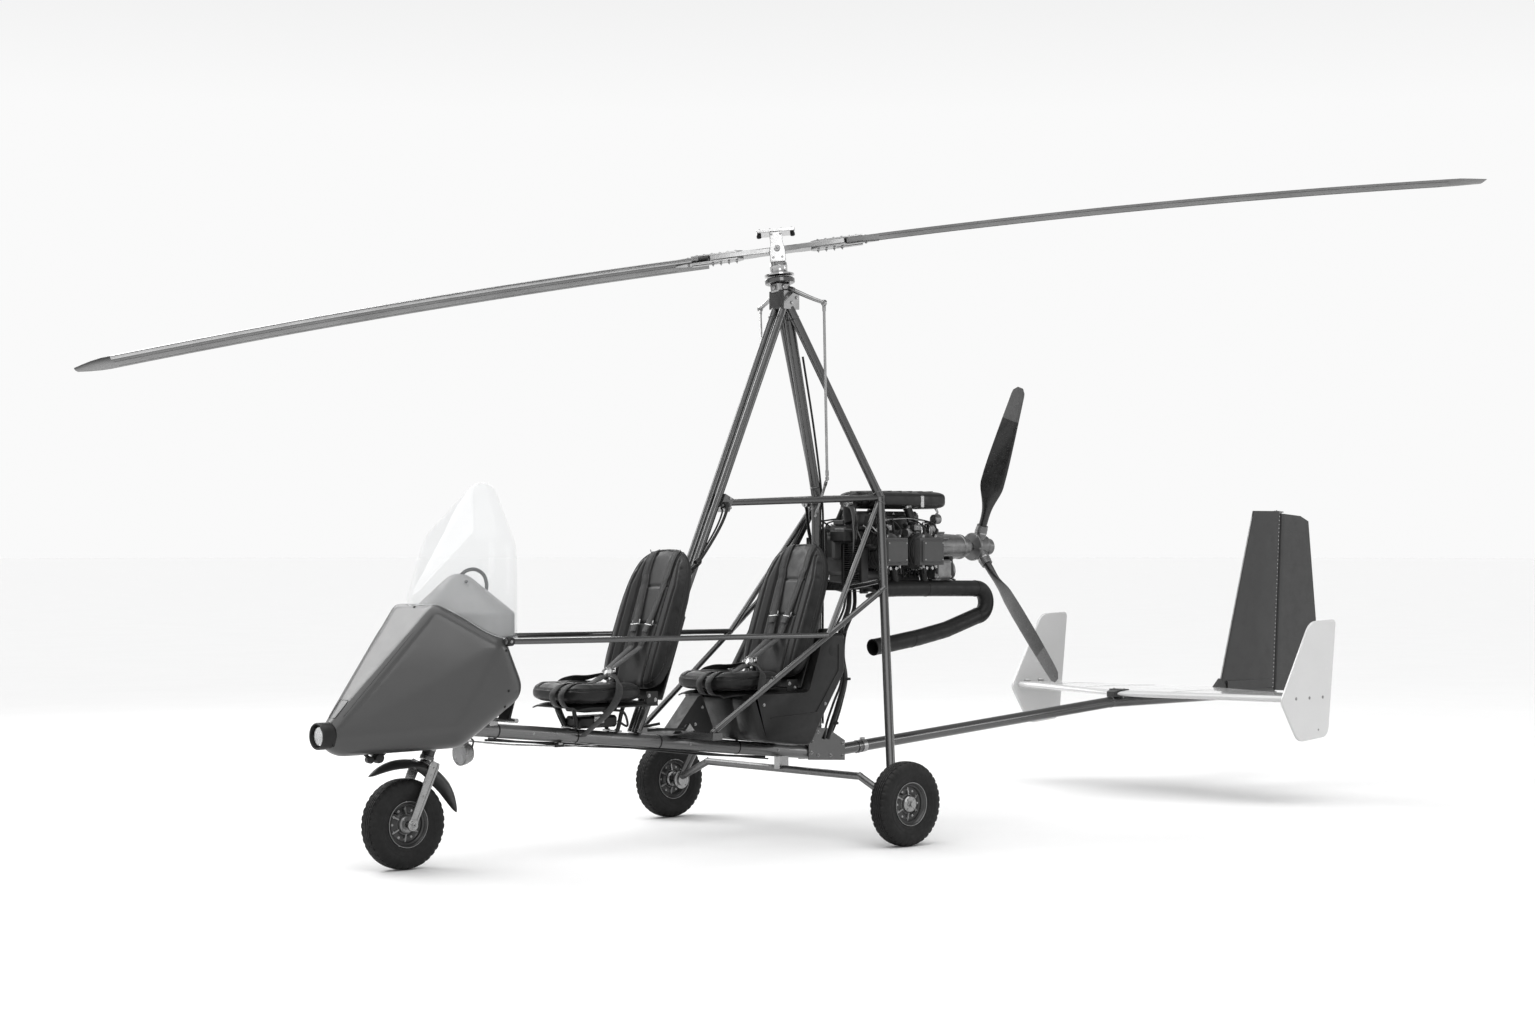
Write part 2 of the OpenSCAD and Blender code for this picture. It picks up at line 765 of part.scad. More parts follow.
module fin() color("dimgray") place() {
    clear = rudder_nose + running_gap;
    lean = tan(hinge_lean);
    difference() {
        hull() {
            side_plate([[-3470, fin_foot], [-3520, fin_foot], [-3848, 1612], [-3798, 1612]], 0, 14);
            side_plate([[-3740, fin_foot], [-3970, fin_foot], [-4042, 1612], [-3930, 1612]], 0, fin_t - 6);
        }
        translate(hinge_low) rotate([0, -hinge_lean, 0])
            translate([0, 0, -80]) cylinder(h = 1300, r = clear);
    }
}

module at_hinge() {
    translate(hinge_low) rotate([0, -hinge_lean, 0]) children();
}

module rudder() color("dimgray") place() at_hinge() difference() {
    chord = tail_x + hinge_low.x;
    union() {
        cylinder(h = rudder_h, r = rudder_nose);
        hull() {
            cylinder(h = rudder_h, r = rudder_nose - 0.5, $fn = 32);
            side_plate([[-chord, 0], [-chord + 26, 410], [-chord + 146, rudder_h - 25],
                [-190, rudder_h], [-chord + 60, 0]], 0, 6);
        }
    }
    translate([0, 0, -5]) cylinder(h = rudder_h + 10, r = hinge_rod_d / 2 + axle_gap);
}

module rudder_hinge() color("gray") place() at_hinge() {
    translate([0, 0, -14]) cylinder(h = rudder_h + 28, d = hinge_rod_d);
    for (z = [-14, rudder_h + 6])
        translate([-12, -12, z]) cube([72, 24, 8]);
}

keel();
tail_boom();
keel_end_plates();
front_mast();
rear_mast_post();
mast_head();
mast_bracket();
left_main_leg();
right_main_leg();
upper_frame();
mast_braces();
side_rails();
seat_crossbar();
cross_axle();
axle_bracket();
stub_axles();
left_tyre();
left_rim();
right_tyre();
right_rim();
nose_tyre();
nose_rim();
steering_neck();
nose_fork();
nose_fender();
pod_shell();
instrument_cowl();
windshield();
lamps();
front_seat_shell();
rear_seat_shell();
front_seat_cushion();
front_seat_back();
rear_seat_cushion();
rear_seat_back();
fuel_tank();
engine();
engine_mount();
airbox();
exhaust();
propeller_hub();
propeller_blades();
rotor_head();
control_rods();
rotor_tower();
hub_bar();
rotor_blades();
stabiliser();
end_plates();
fin();
rudder();
rudder_hinge();
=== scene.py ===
import bpy, bmesh, json, math, random
from mathutils import Matrix, Vector


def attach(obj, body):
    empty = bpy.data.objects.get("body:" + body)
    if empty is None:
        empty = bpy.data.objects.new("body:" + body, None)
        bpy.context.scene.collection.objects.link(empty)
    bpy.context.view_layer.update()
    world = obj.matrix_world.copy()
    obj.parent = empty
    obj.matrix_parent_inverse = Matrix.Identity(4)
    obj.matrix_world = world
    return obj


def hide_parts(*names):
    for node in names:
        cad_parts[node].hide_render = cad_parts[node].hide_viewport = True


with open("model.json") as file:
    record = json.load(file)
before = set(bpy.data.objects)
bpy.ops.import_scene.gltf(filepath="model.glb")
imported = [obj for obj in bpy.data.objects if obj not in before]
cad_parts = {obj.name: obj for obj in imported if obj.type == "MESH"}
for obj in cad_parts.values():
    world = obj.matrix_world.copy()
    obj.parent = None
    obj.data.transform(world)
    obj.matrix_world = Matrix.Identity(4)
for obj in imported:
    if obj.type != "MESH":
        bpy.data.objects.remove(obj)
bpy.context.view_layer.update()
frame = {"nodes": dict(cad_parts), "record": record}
nodes = frame["nodes"]
record = frame["record"]
AX = 0.860                      # main axle, in the row frame
rnd = random.Random(7)
scene = bpy.context.scene
scene.view_settings.view_transform = "Standard"
pi, sin, cos, tan, rad = math.pi, math.sin, math.cos, math.tan, math.radians


def P(x, y, z):
    """A point measured from the main axle, in the row frame."""
    return Vector((x + AX, y, z))


# ---------------------------------------------------------------- camera, floor and light
eye = P(8.781, 9.608, 1.468)
look = Vector((-0.6707, -0.7417, 0.0088)).normalized()
right = look.cross(Vector((0, 0, 1))).normalized()
up = right.cross(look)
cam = bpy.data.objects.new("camera", bpy.data.cameras.new("camera"))
cam.matrix_world = Matrix((right, up, -look)).transposed().to_4x4()
cam.matrix_world.translation = eye
cam.data.sensor_fit = "HORIZONTAL"
cam.data.sensor_width = 36.0
cam.data.lens = 61.4
cam.data.clip_end = 400
scene.collection.objects.link(cam)
scene.camera = cam


def material_nodes(name):
    m = bpy.data.materials.new(name)
    m.use_nodes = True
    nt = m.node_tree
    return m, nt, nt.nodes["Principled BSDF"]


def ramp(nt, fac, stops):
    r = nt.nodes.new("ShaderNodeValToRGB")
    e = r.color_ramp.elements
    while len(e) < len(stops):
        e.new(0.5)
    for el, (pos, c) in zip(e, stops):
        el.position = pos
        el.color = (*c, 1) if isinstance(c, tuple) else (c, c, c, 1)
    nt.links.new(fac, r.inputs[0])
    return r.outputs[0]


def noise(nt, vec, scale, detail=4.0, rough=0.55):
    n = nt.nodes.new("ShaderNodeTexNoise")
    n.inputs["Scale"].default_value = scale
    n.inputs["Detail"].default_value = detail
    n.inputs["Roughness"].default_value = rough
    nt.links.new(vec, n.inputs["Vector"])
    return n.outputs["Fac"]


def coords(nt, stretch=(1, 1, 1)):
    t = nt.nodes.new("ShaderNodeTexCoord")
    m = nt.nodes.new("ShaderNodeMapping")
    m.inputs["Scale"].default_value = stretch
    nt.links.new(t.outputs["Object"], m.inputs["Vector"])
    return m.outputs["Vector"]


def bump(nt, height, strength, distance, normal=None):
    b = nt.nodes.new("ShaderNodeBump")
    b.inputs["Strength"].default_value = strength
    b.inputs["Distance"].default_value = distance
    nt.links.new(height, b.inputs["Height"])
    if normal:
        nt.links.new(normal, b.inputs["Normal"])
    return b.outputs["Normal"]


def mix(nt, fac, a, b, kind="MIX"):
    m = nt.nodes.new("ShaderNodeMix")
    m.data_type = "RGBA"
    m.blend_type = kind
    for i, val in ((0, fac), (6, a), (7, b)):
        sock = m.inputs[i]
        if isinstance(val, (int, float)):
            sock.default_value = val if i == 0 else (val, val, val, 1)
        elif isinstance(val, tuple):
            sock.default_value = (*val, 1)
        else:
            nt.links.new(val, sock)
    return m.outputs[2]


def mat(name, col, rough, metal=0.0, var=0.14, scale=5.0, grain=260.0, depth=0.12, stretch=(1, 1, 1),
        coat=0.0, wear=0.0, weave=0.0, dust=0.0, sheen=0.0, alpha=1.0, rvar=0.12, dist=0.0006, spec=0.5):
    """One procedural finish: mottled colour, uneven roughness, fine grain, worn edges, dust or weave."""
    m, nt, b = material_nodes(name)
    col = (col,) * 3 if isinstance(col, (int, float)) else col
    vec = coords(nt, stretch)
    big, fine = noise(nt, vec, scale, 5.0), noise(nt, vec, grain, 2.0, 0.5)
    c = ramp(nt, big, [(0.3, tuple(x * (1 - var) for x in col)), (0.7, tuple(x * (1 + var) for x in col))])
    speck = ramp(nt, fine, [(0.35, 1 - var * 0.6), (0.65, 1 + var * 0.3)])
    c = mix(nt, 1.0, c, speck, "MULTIPLY")
    if dust:
        g = nt.nodes.new("ShaderNodeNewGeometry")
        s = nt.nodes.new("ShaderNodeSeparateXYZ")
        nt.links.new(g.outputs["Normal"], s.inputs[0])
        top = ramp(nt, s.outputs[2], [(0.2, 0.0), (1.0, dust)])
        spot = ramp(nt, noise(nt, vec, 14.0, 6.0, 0.7), [(0.42, 0.0), (0.72, 1.0)])
        c = mix(nt, mix(nt, 1.0, top, spot, "MULTIPLY"), c, (0.42, 0.41, 0.39))
    if wear:
        g = nt.nodes.new("ShaderNodeNewGeometry")
        e = ramp(nt, g.outputs["Pointiness"], [(0.515, 0.0), (0.56, wear)])
        c = mix(nt, e, c, (0.45, 0.45, 0.45))
    nt.links.new(c, b.inputs["Base Color"])
    lo, hi = max(rough - rvar, 0.03), min(rough + rvar, 1.0)
    nt.links.new(ramp(nt, noise(nt, vec, scale * 3.1, 6.0, 0.65), [(0.3, lo), (0.7, hi)]), b.inputs["Roughness"])
    n = bump(nt, fine, depth, dist)
    if weave:
        waves = []
        for d in ("X", "Z"):
            w = nt.nodes.new("ShaderNodeTexWave")
            w.bands_direction = d
            w.inputs["Scale"].default_value = weave
            w.inputs["Distortion"].default_value = 0.4
            nt.links.new(vec, w.inputs["Vector"])
            waves.append(w.outputs["Fac"])
        n = bump(nt, mix(nt, 1.0, waves[0], waves[1], "MULTIPLY"), 0.35, 0.0008, n)
    nt.links.new(n, b.inputs["Normal"])
    b.inputs["Metallic"].default_value = metal
    b.inputs["Coat Weight"].default_value = coat
    b.inputs["Coat Roughness"].default_value = 0.08
    b.inputs["Sheen Weight"].default_value = sheen
    b.inputs["Alpha"].default_value = alpha
    b.inputs["Specular IOR Level"].default_value = spec
    return m


M = {}
M["frame_paint"] = mat("frame_paint", 0.050, 0.20, 0.75, coat=0.2, var=0.06, wear=0.12, grain=420, rvar=0.05,
                       depth=0.05)
M["keel_alloy"] = mat("keel_alloy", 0.16, 0.30, 0.8, var=0.08, rvar=0.06, stretch=(0.12, 4, 4), scale=9, grain=300,
                      depth=0.2)
M["steel"] = mat("steel", 0.30, 0.28, 0.95, var=0.12, rvar=0.08, scale=14, grain=500, depth=0.1)
M["tyre"] = mat("tyre_rubber", 0.010, 0.60, var=0.3, scale=18, grain=380, depth=0.35, dust=0.06, spec=0.22)
M["rim"] = mat("rim_paint", 0.045, 0.36, 0.6, coat=0.1, wear=0.5, scale=16)
M["pod_paint"] = mat("pod_paint", 0.034, 0.36, 0.0, coat=0.25, var=0.05, scale=2.5, grain=700, depth=0.03, rvar=0.05,
                     spec=0.5)
M["tail_paint"] = mat("tail_paint", 0.022, 0.42, 0.0, coat=0.1, spec=0.4, var=0.12, scale=4, grain=500, depth=0.05)
M["white_paint"] = mat("white_paint", 0.55, 0.22, 0.0, coat=0.7, var=0.03, scale=3, grain=500, depth=0.02, rvar=0.06)
M["black_plastic"] = mat("black_plastic", 0.008, 0.42, var=0.2, scale=9, grain=320, depth=0.3, dust=0.03, spec=0.3)
M["engine_metal"] = mat("engine_metal", 0.009, 0.42, 0.2, var=0.35, scale=22, grain=260, depth=0.5, wear=0.12,
                        dust=0.01, spec=0.24)
M["engine_alloy"] = mat("engine_alloy", 0.19, 0.38, 0.9, var=0.22, scale=24, grain=300, depth=0.45)
M["airbox_alloy"] = mat("airbox_alloy", 0.20, 0.40, 0.85, var=0.2, scale=16, grain=260, depth=0.4)
M["exhaust_metal"] = mat("exhaust_metal", 0.009, 0.46, 0.1, var=0.25, scale=11, grain=260, depth=0.3, dust=0.01,
                         spec=0.26)
M["prop_composite"] = mat("prop_composite", 0.012, 0.30, 0.0, coat=0.25, spec=0.4, var=0.25, scale=10, grain=420,
                          stretch=(1, 1, 1), depth=0.08)
M["rotor_skin"] = mat("rotor_skin", 0.050, 0.36, 0.5, rvar=0.06, var=0.10, scale=3, grain=300, depth=0.08,
                      stretch=(0.3, 0.3, 3))
M["prop_tip"] = mat("prop_tip", 0.075, 0.30, 0.0, coat=0.25, var=0.15, scale=10, grain=420, depth=0.08)
M["hub_grey"] = mat("hub_grey", 0.14, 0.34, 0.6, var=0.1, scale=12, grain=420, depth=0.1, rvar=0.06)
M["rotor_alloy"] = mat("rotor_alloy", 0.30, 0.26, 0.95, var=0.08, scale=10, grain=420, depth=0.1, rvar=0.06)
# light metal for bolts, dial needles, clips and hinge knuckles; on the rotor blades it is also the painted highlight
# strip along the leading edges
M["edge_light"] = mat("edge_light", 0.38, 0.30, 0.85, var=0.12, scale=10)
M["polished"] = mat("polished_alloy", 0.45, 0.16, 1.0, var=0.06, scale=12, grain=500, depth=0.05, rvar=0.06)
M["rubber_hose"] = mat("rubber_hose", 0.008, 0.45, spec=0.3, var=0.25, scale=20, grain=300, depth=0.3)
M["vinyl"] = mat("seat_vinyl", 0.006, 0.44, var=0.15, scale=7, grain=330, depth=0.4, dist=0.0004, sheen=0.04,
                 spec=0.28)
M["vinyl_panel"] = mat("seat_panel_vinyl", 0.022, 0.42, var=0.12, scale=8, grain=300, depth=0.4, dist=0.0004,
                       sheen=0.06, spec=0.32)
M["webbing"] = mat("webbing", 0.014, 0.55, var=0.2, scale=30, grain=500, depth=0.2, weave=260, sheen=0.08, spec=0.35)
M["piping"] = mat("seat_piping", 0.007, 0.35, spec=0.3, var=0.15, scale=20, grain=400, depth=0.2)
M["stitch"] = mat("stitching", 0.10, 0.7, var=0.2, scale=60, grain=600)
M["cowl_grey"] = mat("cowl_grey", 0.20, 0.45, var=0.08, scale=6, grain=520, depth=0.3)
M["lamp"] = mat("lamp_housing", 0.24, 0.30, 0.7, var=0.1, scale=16, grain=400, depth=0.1)
M["reflector"] = mat("lamp_reflector", 0.72, 0.16, 0.9, var=0.1, scale=60, grain=500, depth=0.1)
M["floor"] = mat("floor_white", 0.80, 0.75, var=0.008, scale=1.2, grain=30, depth=0.02)


def clear(name, col, alpha, rough=0.05):
    m, nt, b = material_nodes(name)
    vec = coords(nt)
    f = noise(nt, vec, 3.0, 6.0)
    nt.links.new(ramp(nt, f, [(0.3, tuple(c * 0.94 for c in col)), (0.7, col)]), b.inputs["Base Color"])
    nt.links.new(ramp(nt, noise(nt, vec, 60.0, 3.0), [(0.4, rough), (0.7, rough + 0.05)]), b.inputs["Roughness"])
    b.inputs["Alpha"].default_value = alpha
    b.inputs["Specular IOR Level"].default_value = 0.5
    b.inputs["Coat Weight"].default_value = 0.5
    return m


M["clear_screen"] = clear("clear_screen", (0.72, 0.74, 0.75), 0.10)
M["lens"] = clear("lamp_lens", (0.85, 0.86, 0.87), 0.32, 0.08)

for o in nodes.values():
    slot = next((s.name for s in o.data.materials if s), "")
    for key in M:
        if slot.startswith(key):
            o.data.materials.clear()
            o.data.materials.append(M[key])
            break
    else:
        print("no finish for", o.name, slot)
        o.data.materials.clear()
        o.data.materials.append(M["steel"])
    for f in o.data.polygons:
        f.material_index = 0

world = bpy.data.worlds.new("studio")
scene.world = world
world.use_nodes = True
wn = world.node_tree
tc = wn.nodes.new("ShaderNodeTexCoord")
sep = wn.nodes.new("ShaderNodeSeparateXYZ")
wn.links.new(tc.outputs["Generated"], sep.inputs[0])
sky = ramp(wn, sep.outputs[2], [(0.0, 0.955), (0.16, 0.955), (0.42, 0.55), (0.75, 0.40), (1.0, 0.62)])
wn.links.new(sky, wn.nodes["Background"].inputs[0])


def light(kind, name, at, to, energy, size=1.0, size_y=None):
    d = bpy.data.lights.new(name, kind)
    d.energy = energy
    if kind == "SUN":
        d.angle = size
    else:
        d.shape = "RECTANGLE"
        d.size, d.size_y = size, size_y or size
    o = bpy.data.objects.new(name, d)
    o.location = at
    o.rotation_euler = (Vector(to) - Vector(at)).to_track_quat("-Z", "Y").to_euler()
    scene.collection.objects.link(o)


light("SUN", "soft_top", (1.5, 1.0, 8), (0, 0, 0), 2.09, rad(75))
light("AREA", "pod_top", (3.7, -5.9, 6.3), (3.0, 0, 1.0), 380, 6.0, 4.0)
light("AREA", "key", (5.0, 7.5, 5.2), (0.5, 0, 1.2), 95, 4.0, 2.2)
light("AREA", "side", (-6.0, 6.5, 3.4), (-0.5, 0, 1.0), 70, 3.2, 2.2)
light("AREA", "rim", (-3.0, -7.5, 4.6), (0.5, 0, 1.4), 80, 4.0, 1.4)

fm = bpy.data.meshes.new("floor")
ring = [(0.5 + 160 * cos(a * pi / 24), 160 * sin(a * pi / 24), -0.0005) for a in range(48)]
fm.from_pydata(ring, [], [list(range(48))])
fm.materials.append(M["floor"])
floor = bpy.data.objects.new("floor", fm)
scene.collection.objects.link(floor)


# ---------------------------------------------------------------- mesh helpers
def turn_to(axis):
    return Vector(axis).to_track_quat("Z", "Y").to_matrix()


def smooth_path(pts, n=8):
    """A Catmull-Rom curve through the points."""
    pts = [Vector(p) for p in pts]
    q = [2 * pts[0] - pts[1]] + pts + [2 * pts[-1] - pts[-2]]
    out = []
    for a, b, c, d in zip(q, q[1:], q[2:], q[3:]):
        for i in range(n):
            t = i / n
            out.append(0.5 * (2 * b + (c - a) * t + (2 * a - 5 * b + 4 * c - d) * t * t
                              + (3 * b - a - 3 * c + d) * t ** 3))
    return out + [pts[-1]]


def path_frames(pts, up=None):
    out = []
    for i, p in enumerate(pts):
        t = (pts[min(i + 1, len(pts) - 1)] - pts[max(i - 1, 0)]).normalized()
        u = Vector(up) if up is not None else t.orthogonal()
        u = (u - t * u.dot(t)).normalized()
        up = u
        out.append((p, t.cross(u), u))
    return out


class Kit:
    """Gathers shapes of several finishes into one mesh."""

    def __init__(self):
        self.v, self.f, self.m, self.mats = [], [], [], []

    def add(self, verts, faces, m):
        m = M[m]
        if m not in self.mats:
            self.mats.append(m)
        k, o = self.mats.index(m), len(self.v)
        self.v += [tuple(p) for p in verts]
        self.f += [[i + o for i in f] for f in faces]
        self.m += [k] * len(faces)

    def rings(self, rings, m, caps=True, loop=False, closed=True):
        n, r = len(rings[0]), len(rings)
        vs = [p for ring in rings for p in ring]
        fs = [[i * n + j, i * n + (j + 1) % n, (i + 1) % r * n + (j + 1) % n, (i + 1) % r * n + j]
              for i in range(r if loop else r - 1) for j in range(n if closed else n - 1)]
        if caps and not loop:
            fs += [list(range(n))[::-1], [(r - 1) * n + j for j in range(n)]]
        self.add(vs, fs, m)

    def tube(self, pts, r, m, n=14, caps=True, flat=1.0, up=None, loop=False):
        pts = [Vector(p) for p in pts]
        rs = r if isinstance(r, (list, tuple)) else [r] * len(pts)
        self.rings([[p + (s * cos(2 * pi * j / n) + u * sin(2 * pi * j / n) * flat) * q for j in range(n)]
                    for (p, s, u), q in zip(path_frames(pts, up), rs)], m, caps, loop)

    def hose(self, pts, n, *rest, **more):
        """A smooth tube through fixed points in vehicle coordinates, n steps a span."""
        self.tube(smooth_path([P(*p) for p in pts], n), *rest, **more)

    def lathe(self, prof, o, axis, m, n=40, caps=True, loop=False, spin=0.0):
        """prof lists (distance along the axis, radius)."""
        t, o = turn_to(axis), Vector(o)
        self.rings([[o + t @ Vector((r * cos(2 * pi * j / n + spin), r * sin(2 * pi * j / n + spin), h))
                     for j in range(n)] for h, r in prof], m, caps, loop)

    def hull(self, pts, m):
        b = bmesh.new()
        for p in pts:
            b.verts.new(p)
        bmesh.ops.convex_hull(b, input=b.verts)
        bmesh.ops.delete(b, geom=[v for v in b.verts if not v.link_faces], context="VERTS")
        bmesh.ops.dissolve_limit(b, angle_limit=0.01, verts=b.verts, edges=b.edges)
        b.verts.index_update()
        self.add([v.co.copy() for v in b.verts], [[v.index for v in f.verts] for f in b.faces], m)
        b.free()

    def block(self, c, size, m, rot=None, bev=0.003):
        rot = rot if rot is not None else Matrix.Identity(3)
        h = Vector(size) / 2
        bev = min(bev, min(h) * 0.8)
        pts = []
        for s in [(x, y, z) for x in (-1, 1) for y in (-1, 1) for z in (-1, 1)]:
            for k in range(3):
                q = [s[i] * (h[i] - (0 if i == k else bev)) for i in range(3)]
                pts.append(Vector(c) + rot @ Vector(q))
        self.hull(pts, m)

    def slab(self, poly, t, m, at, bev=0.002):
        """A plate: poly in the local x, y plane of `at` (a 4x4), thickness t along local z, edges eased."""
        n = len(poly)

        def inset(d):
            out = []
            for i in range(n):
                a, b, c = (Vector(poly[(i + k) % n]) for k in (-1, 0, 1))
                e, f = (b - a).normalized(), (c - b).normalized()
                na, nb = Vector((-e.y, e.x)), Vector((-f.y, f.x))
                v = (na + nb)
                v = v / max(v.length_squared / 2, 0.3)
                out.append(b + v * d * self.turn)
            return out
        area = sum(poly[i][0] * poly[(i + 1) % n][1] - poly[(i + 1) % n][0] * poly[i][1] for i in range(n))
        self.turn = 1 if area > 0 else -1
        levels = [(-t / 2, bev), (-t / 2 + bev, 0), (t / 2 - bev, 0), (t / 2, bev)]
        self.rings([[at @ Vector((p[0], p[1], z)) for p in inset(d)] for z, d in levels], m)

    def bolt(self, p, axis, s=0.006, m="steel", nut=False):
        """A washer and a hexagon head with a domed or threaded end, standing on p."""
        a = Vector(axis).normalized()
        self.lathe([(0, s * 1.35), (s * 0.18, s * 1.35), (s * 0.22, s * 1.25)], p, a, m, 18)
        p = Vector(p) + a * s * 0.22
        self.lathe([(0, s * 0.9), (s * 0.08, s), (s * 0.6, s), (s * 0.72, s * 0.84)], p, a, m, 6, spin=rnd.random())
        if nut:
            self.lathe([(0, s * 0.5), (s * 1.5, s * 0.5), (s * 1.65, s * 0.4)], p, a, m, 12)
        else:
            self.lathe([(s * 0.7, s * 0.6), (s * 0.8, s * 0.45)], p, a, m, 12)

    def clamp(self, p, axis, r, m="steel", w=0.012):
        """A worm-drive band round a pipe or hose."""
        a = Vector(axis).normalized()
        self.lathe([(-w / 2, r), (-w / 2, r + 0.0014), (w / 2, r + 0.0014), (w / 2, r)], p, a, m, 28, False, True)
        s = a.orthogonal().normalized()
        self.block(Vector(p) + s * (r + 0.005), (0.010, 0.016, w * 0.9), m, turn_to(a) @ Matrix.Identity(3), 0.002)

    def done(self, name, body, slot=None, cad=(), sharp=38, subd=0):
        me = bpy.data.meshes.new(name)
        me.from_pydata(self.v, [], self.f)
        for m in self.mats:
            me.materials.append(m)
        me.polygons.foreach_set("material_index", self.m)
        o = bpy.data.objects.new(name, me)
        scene.collection.objects.link(o)
        return dress(o, body, cad, sharp)


def dress(o, body, cad=(), sharp=38):
    b = bmesh.new()
    b.from_mesh(o.data)
    bmesh.ops.recalc_face_normals(b, faces=b.faces)
    for f in b.faces:
        f.smooth = True
    for e in b.edges:
        e.smooth = len(e.link_faces) == 2 and e.calc_face_angle(0) < rad(sharp)
    b.to_mesh(o.data)
    b.free()
    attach(o, body)
    if cad:
        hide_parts(*([cad] if isinstance(cad, str) else cad))
    return o


def apply_all(o):
    bpy.context.view_layer.objects.active = o
    for m in list(o.modifiers):
        with bpy.context.temp_override(object=o, active_object=o, selected_objects=[o]):
            bpy.ops.object.modifier_apply(modifier=m.name)


def mesh_object(name, verts, faces, m=None):
    me = bpy.data.meshes.new(name)
    me.from_pydata([tuple(v) for v in verts], [], faces)
    if m:
        me.materials.append(M[m])
    o = bpy.data.objects.new(name, me)
    scene.collection.objects.link(o)
    return o


def hull_object(name, pts, m, voxel=0.012, smooth=10):
    b = bmesh.new()
    for p in pts:
        b.verts.new(p)
    bmesh.ops.convex_hull(b, input=b.verts)
    bmesh.ops.delete(b, geom=[v for v in b.verts if not v.link_faces], context="VERTS")
    me = bpy.data.meshes.new(name)
    b.to_mesh(me)
    b.free()
    me.materials.append(M[m])
    o = bpy.data.objects.new(name, me)
    scene.collection.objects.link(o)
    r = o.modifiers.new("r", "REMESH")
    r.mode, r.voxel_size = "VOXEL", voxel
    s = o.modifiers.new("s", "SMOOTH")
    s.factor, s.iterations = 0.5, smooth
    apply_all(o)
    return o


def prism(name, poly, half):
    """A cutter: poly in x, z from the main axle, reaching half to each side."""
    n = len(poly)
    vs = [P(x, s * half, z) for s in (-1, 1) for x, z in poly]
    fs = [[i, (i + 1) % n, n + (i + 1) % n, n + i] for i in range(n)] + [list(range(n))[::-1], list(range(n, 2 * n))]
    return mesh_object(name, vs, fs, "black_plastic")


def cut(o, cutter, keep_cutter=False):
    """Takes the cutter out of a closed surface and opens it there."""
    m = o.modifiers.new("cut", "BOOLEAN")
    m.object, m.operation, m.solver = cutter, "DIFFERENCE", "EXACT"
    m.material_mode = "TRANSFER"
    apply_all(o)
    b = bmesh.new()
    b.from_mesh(o.data)
    bad = [i for i, s in enumerate(o.data.materials) if s == M["black_plastic"]]
    bmesh.ops.delete(b, geom=[f for f in b.faces if f.material_index in bad], context="FACES")
    b.to_mesh(o.data)
    b.free()
    if not keep_cutter:
        bpy.data.objects.remove(cutter)


def edge_loops(o):
    """The open edges of a surface, as lists of points."""
    b = bmesh.new()
    b.from_mesh(o.data)
    left = {e for e in b.edges if len(e.link_faces) == 1}
    loops = []
    while left:
        e = left.pop()
        a, v = e.verts
        path = [a.co.copy(), v.co.copy()]
        while True:
            e = next((x for x in v.link_edges if x in left), None)
            if e is None:
                break
            left.discard(e)
            v = e.other_vert(v)
            path.append(v.co.copy())
        loops.append(path)
    b.free()
    return loops


def relax(path, step=0.02, rounds=4):
    """Evenly spaced, smoothed points along a path."""
    out, acc = [path[0]], 0.0
    for a, c in zip(path, path[1:]):
        acc += (c - a).length
        if acc >= step:
            out.append(c)
            acc = 0.0
    if (out[-1] - path[-1]).length > step * 0.4:
        out.append(path[-1])
    for _ in range(rounds):
        out = [out[0]] + [(a + 2 * c + d) / 4 for a, c, d in zip(out, out[1:], out[2:])] + [out[-1]]
    return out


def shell(o, thick, inward=True):
    s = o.modifiers.new("t", "SOLIDIFY")
    s.thickness, s.offset = thick, (-1 if inward else 1)
    s.use_even_offset = False
    apply_all(o)


def ball(c, r, n=18, s=(1, 1, 1)):
    return [P(*c) + Vector((r * s[0] * sin(pi * i / n) * cos(2 * pi * j / (2 * n)),
                            r * s[1] * sin(pi * i / n) * sin(2 * pi * j / (2 * n)),
                            r * s[2] * cos(pi * i / n))) for i in range(n + 1) for j in range(2 * n)]


def keel_z(x):
    """Height of the sloping keel's middle line at the station x."""
    return 0.399 + x * tan(rad(6.03))


# ---------------------------------------------------------------- wheels
HALF_TYRE = [(0, 200, 0), (4, 200, 0), (4.6, 195.6, 0), (7.4, 195.6, 0), (8, 199.8, 1), (16, 199.5, 1),
             (16.6, 194.4, 0), (19.4, 194.2, 0), (20, 199, 1), (27, 198, 1), (27.6, 193.2, 0), (30.4, 192.8, 0),
             (31, 197, 2), (38, 194.3, 2), (43.5, 189.5, 2), (47.5, 183, 2), (50.2, 174, 0), (51.9, 164, 0),
             (52.4, 155, 0), (51.5, 146, 0), (50.1, 139.5, 0), (50.7, 137.5, 0), (50.0, 135, 0), (47.9, 126, 0),
             (45.8, 119.5, 0), (46.3, 117.2, 0), (45.2, 114.5, 0), (43.0, 108, 0), (40, 103.2, 0)]


